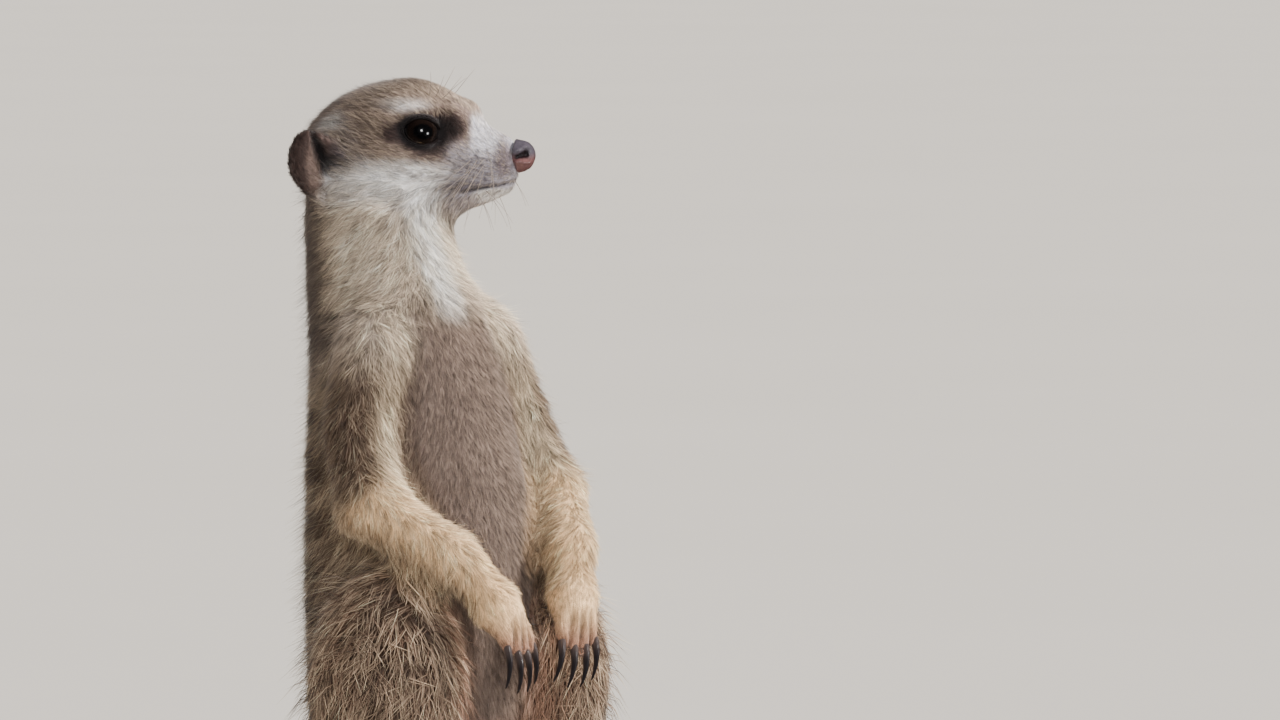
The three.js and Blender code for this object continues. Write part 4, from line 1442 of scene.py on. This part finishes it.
def make_nose(material):
    """The nose pad with its nostrils and the groove below them."""
    made = evaluated(welded_mesh("nose", "nose_pad"), "REMESH", mode="VOXEL", voxel_size=NOSE_STEP * MM)
    points = Web(made).fair(points_of(made), NOSE_ROUNDS)
    set_points(made, points)
    normals = normals_of(made)
    f, side, u = head_place(points).T
    reach, t = line_reach(np.stack((f, np.abs(side), u), axis=1), NOSTRIL)
    width = mix(1.6, 0.7, t)
    nostril = bell(reach, width)
    rim = bell(reach - width * 1.7, 0.6)
    groove = bell(side, 0.35) * ramp(u, 0.5, -1.5) * ramp(f, 44, 46)
    points = points - normals * ((1.7 * nostril + 0.35 * groove - 0.25 * rim) * MM)[:, None]
    set_points(made, points)
    colour = layered(
        tone(92, 63, 62),
        (tone(70, 65, 73), ramp(u, -2.4, 0.6)),
        (tone(96, 84, 88), ramp(f, 42.5, 40.5)),
        # painted shade inside the nostrils and in the groove below them
        (tone(22, 14, 16), ramp(nostril, 0.25, 0.6)),
        (tone(60, 48, 48), groove * 0.7),
    )
    paint(made, "coat_colour", colour)
    piece = place("nose_pad", made, material)
    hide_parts("nose")


def make_claws(material):
    """Each claw with its rounded, tapering horn."""
    for name in sorted(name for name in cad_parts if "_claw_" in name):
        made = evaluated(welded_mesh(name, name + "_horn"), "SUBSURF", levels=2, render_levels=2)
        points = points_of(made)
        limb = middle(name.split("_claw_")[0])
        away = np.linalg.norm(points - limb, axis=1)
        t = (away - away.min()) / np.ptp(away)
        set_points(made, points + normals_of(made) * CLAW_SWELL * MM)
        colour = mix(tone(70, 60, 58), tone(30, 27, 29), ramp(t, 0.05, 0.5))
        paint(made, "coat_colour", colour)
        piece = place(name + "_horn", made, material)
        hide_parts(name)


def make_whiskers(skin, material):
    """Whiskers of the muzzle, brows and chin, as thin tapering hairs."""
    rng = np.random.default_rng(SEED - 1)
    # forward, up, length, and the way it points: forward, outward, up
    roots = [
        *[(36.5 - 2.2 * i, -2.0 - 1.5 * j, 24.0 - 2.0 * j, (0.25 - 0.2 * i, 0.8, -0.35 - 0.14 * j))
          for i in range(4) for j in range(3)],
        *[(21.0 - 2.0 * i, 15.5 + 0.5 * i, 13.0, (0.7 - 0.35 * i, 0.4, 0.8)) for i in range(3)],
        *[(36.0 - 3.0 * i, -14.0, 13.0, (0.75 - 0.2 * i, 0.3, -0.7)) for i in range(3)],
    ]
    parts = []
    for side in SIDES:
        for forward, up, length, way in roots:
            guess = from_head((forward, MIRROR[side] * 8.0, up))
            root = np.array(skin["tree"].find_nearest(Vector(guess))[0])
            heading = unit(np.array(way) * (1, MIRROR[side], 1) + rng.normal(size=3) * 0.16) @ HEAD_AXES
            steps = np.linspace(0, 1, 9)[:, None]
            reach = length * (0.8 + 0.35 * rng.random()) * MM
            droop = DOWN * steps**2.2 * 0.16 - FORWARD * steps**2 * 0.12
            path = root + (heading * steps + droop) * reach
            parts.append(tube(path, (0.11 - 0.085 * steps[:, 0]) * MM, 5))
    mesh = joined("whiskers", parts)
    paint(mesh, "coat_colour", np.broadcast_to(tone(120, 108, 100), (len(mesh.vertices), 3)))
    place("whiskers", mesh, material)


# ---- stage, lights and camera

FLOOR_RADIUS = 60.0
VIEW = (1280, 720)
VIEW_SCALE = 0.308  # millimetres of the body for each unit of the view's width
UPRIGHT_AT = (430, 77)  # where the top of the body's upright stands in the view
UPRIGHT_TOP = 310.0
AZIMUTH, ELEVATION = -45.0, 4.0
CAMERA_AWAY = 3000.0
SENSOR = 36.0
LAMPS_AT = (0.0, -0.04, 0.2)
RIGHT = turned(np.array((1.0, 0.0, 0.0)), BACK, math.radians(AZIMUTH))  # of the view
NEAR = np.cross(RIGHT, UP)  # level, toward the camera


def make_floor():
    """A plain round floor."""
    bm = bmesh.new()
    bmesh.ops.create_circle(bm, cap_ends=True, segments=128, radius=FLOOR_RADIUS)
    mesh = bpy.data.meshes.new("floor")
    bm.to_mesh(mesh)
    bm.free()
    floor = added("floor", mesh)
    mesh.materials.append(floor_material())
    floor.visible_glossy = False


def aim(thing, spot, target):
    """Sets a lamp or camera at a spot, looking at a target."""
    thing.location = spot
    thing.rotation_euler = (Vector(target) - Vector(spot)).to_track_quat("-Z", "Y").to_euler()


def make_camera():
    """The camera, from the animal's right front."""
    across, below = ((VIEW[i] / 2 - UPRIGHT_AT[i]) * VIEW_SCALE for i in range(2))
    target = np.array((0.0, -BODY_BACKSET, UPRIGHT_TOP - below)) + RIGHT * across
    away = turned(NEAR, UP, math.radians(ELEVATION)) * CAMERA_AWAY
    data = bpy.data.cameras.new("camera")
    data.sensor_width = SENSOR
    data.lens = SENSOR * CAMERA_AWAY / (VIEW[0] * VIEW_SCALE)
    data.clip_start, data.clip_end = 0.1, 200.0
    camera = added("camera", data)
    aim(camera, (target + away) * MM, target * MM)
    bpy.context.scene.camera = camera


def lamp(name, kind, start, steps, power, colour, shines=True, **sizes):
    """A soft lamp some metres right, near and up from a start; one that doesn't shine gives no highlights."""
    data = bpy.data.lights.new(name, kind)
    data.energy = power
    data.color = colour
    for key, value in sizes.items():
        setattr(data, key, value)
    made = added(name, data)
    made.visible_glossy = shines
    aim(made, start + np.array(steps) @ (RIGHT, NEAR, UP), LAMPS_AT)


def make_lights():
    """A high key past the far shoulder, a wide fill, two small lamps for the eyes, and a pale sky."""
    world = bpy.data.worlds.new("studio")
    bpy.context.scene.world = world
    world.use_nodes = True
    background = world.node_tree.nodes["Background"]
    background.inputs["Color"].default_value = (0.93, 0.96, 1.0, 1.0)
    background.inputs["Strength"].default_value = 0.32
    world.cycles_visibility.glossy = False
    trunk = np.array(LAMPS_AT)
    lamp("key", "SUN", trunk, (0.74, 0.04, 0.7), 9.5, (1.0, 0.96, 0.9), False, angle=math.radians(14))
    lamp("fill", "AREA", trunk, (0.1, 1.5, 0.6), 14.0, (0.97, 0.98, 1.0), False, size=1.0)
    lamp("catch", "AREA", HEAD_MIDDLE, (0.2, 0.8, 0.14), 2.0, (1.0, 1.0, 1.0), size=0.15)
    lamp("glint", "AREA", HEAD_MIDDLE, (0.6, 0.4, -0.12), 1.0, (1.0, 1.0, 1.0), size=0.11)


# ---- the whole animal

make_camera()
make_lights()
make_floor()
hair = hair_material()
skin = skin_piece(skin_material())
make_eyes(eye_material(), lid_material())
make_nose(nose_material())
make_claws(claw_material())
make_coat(skin, hair)
make_whiskers(skin, hair)
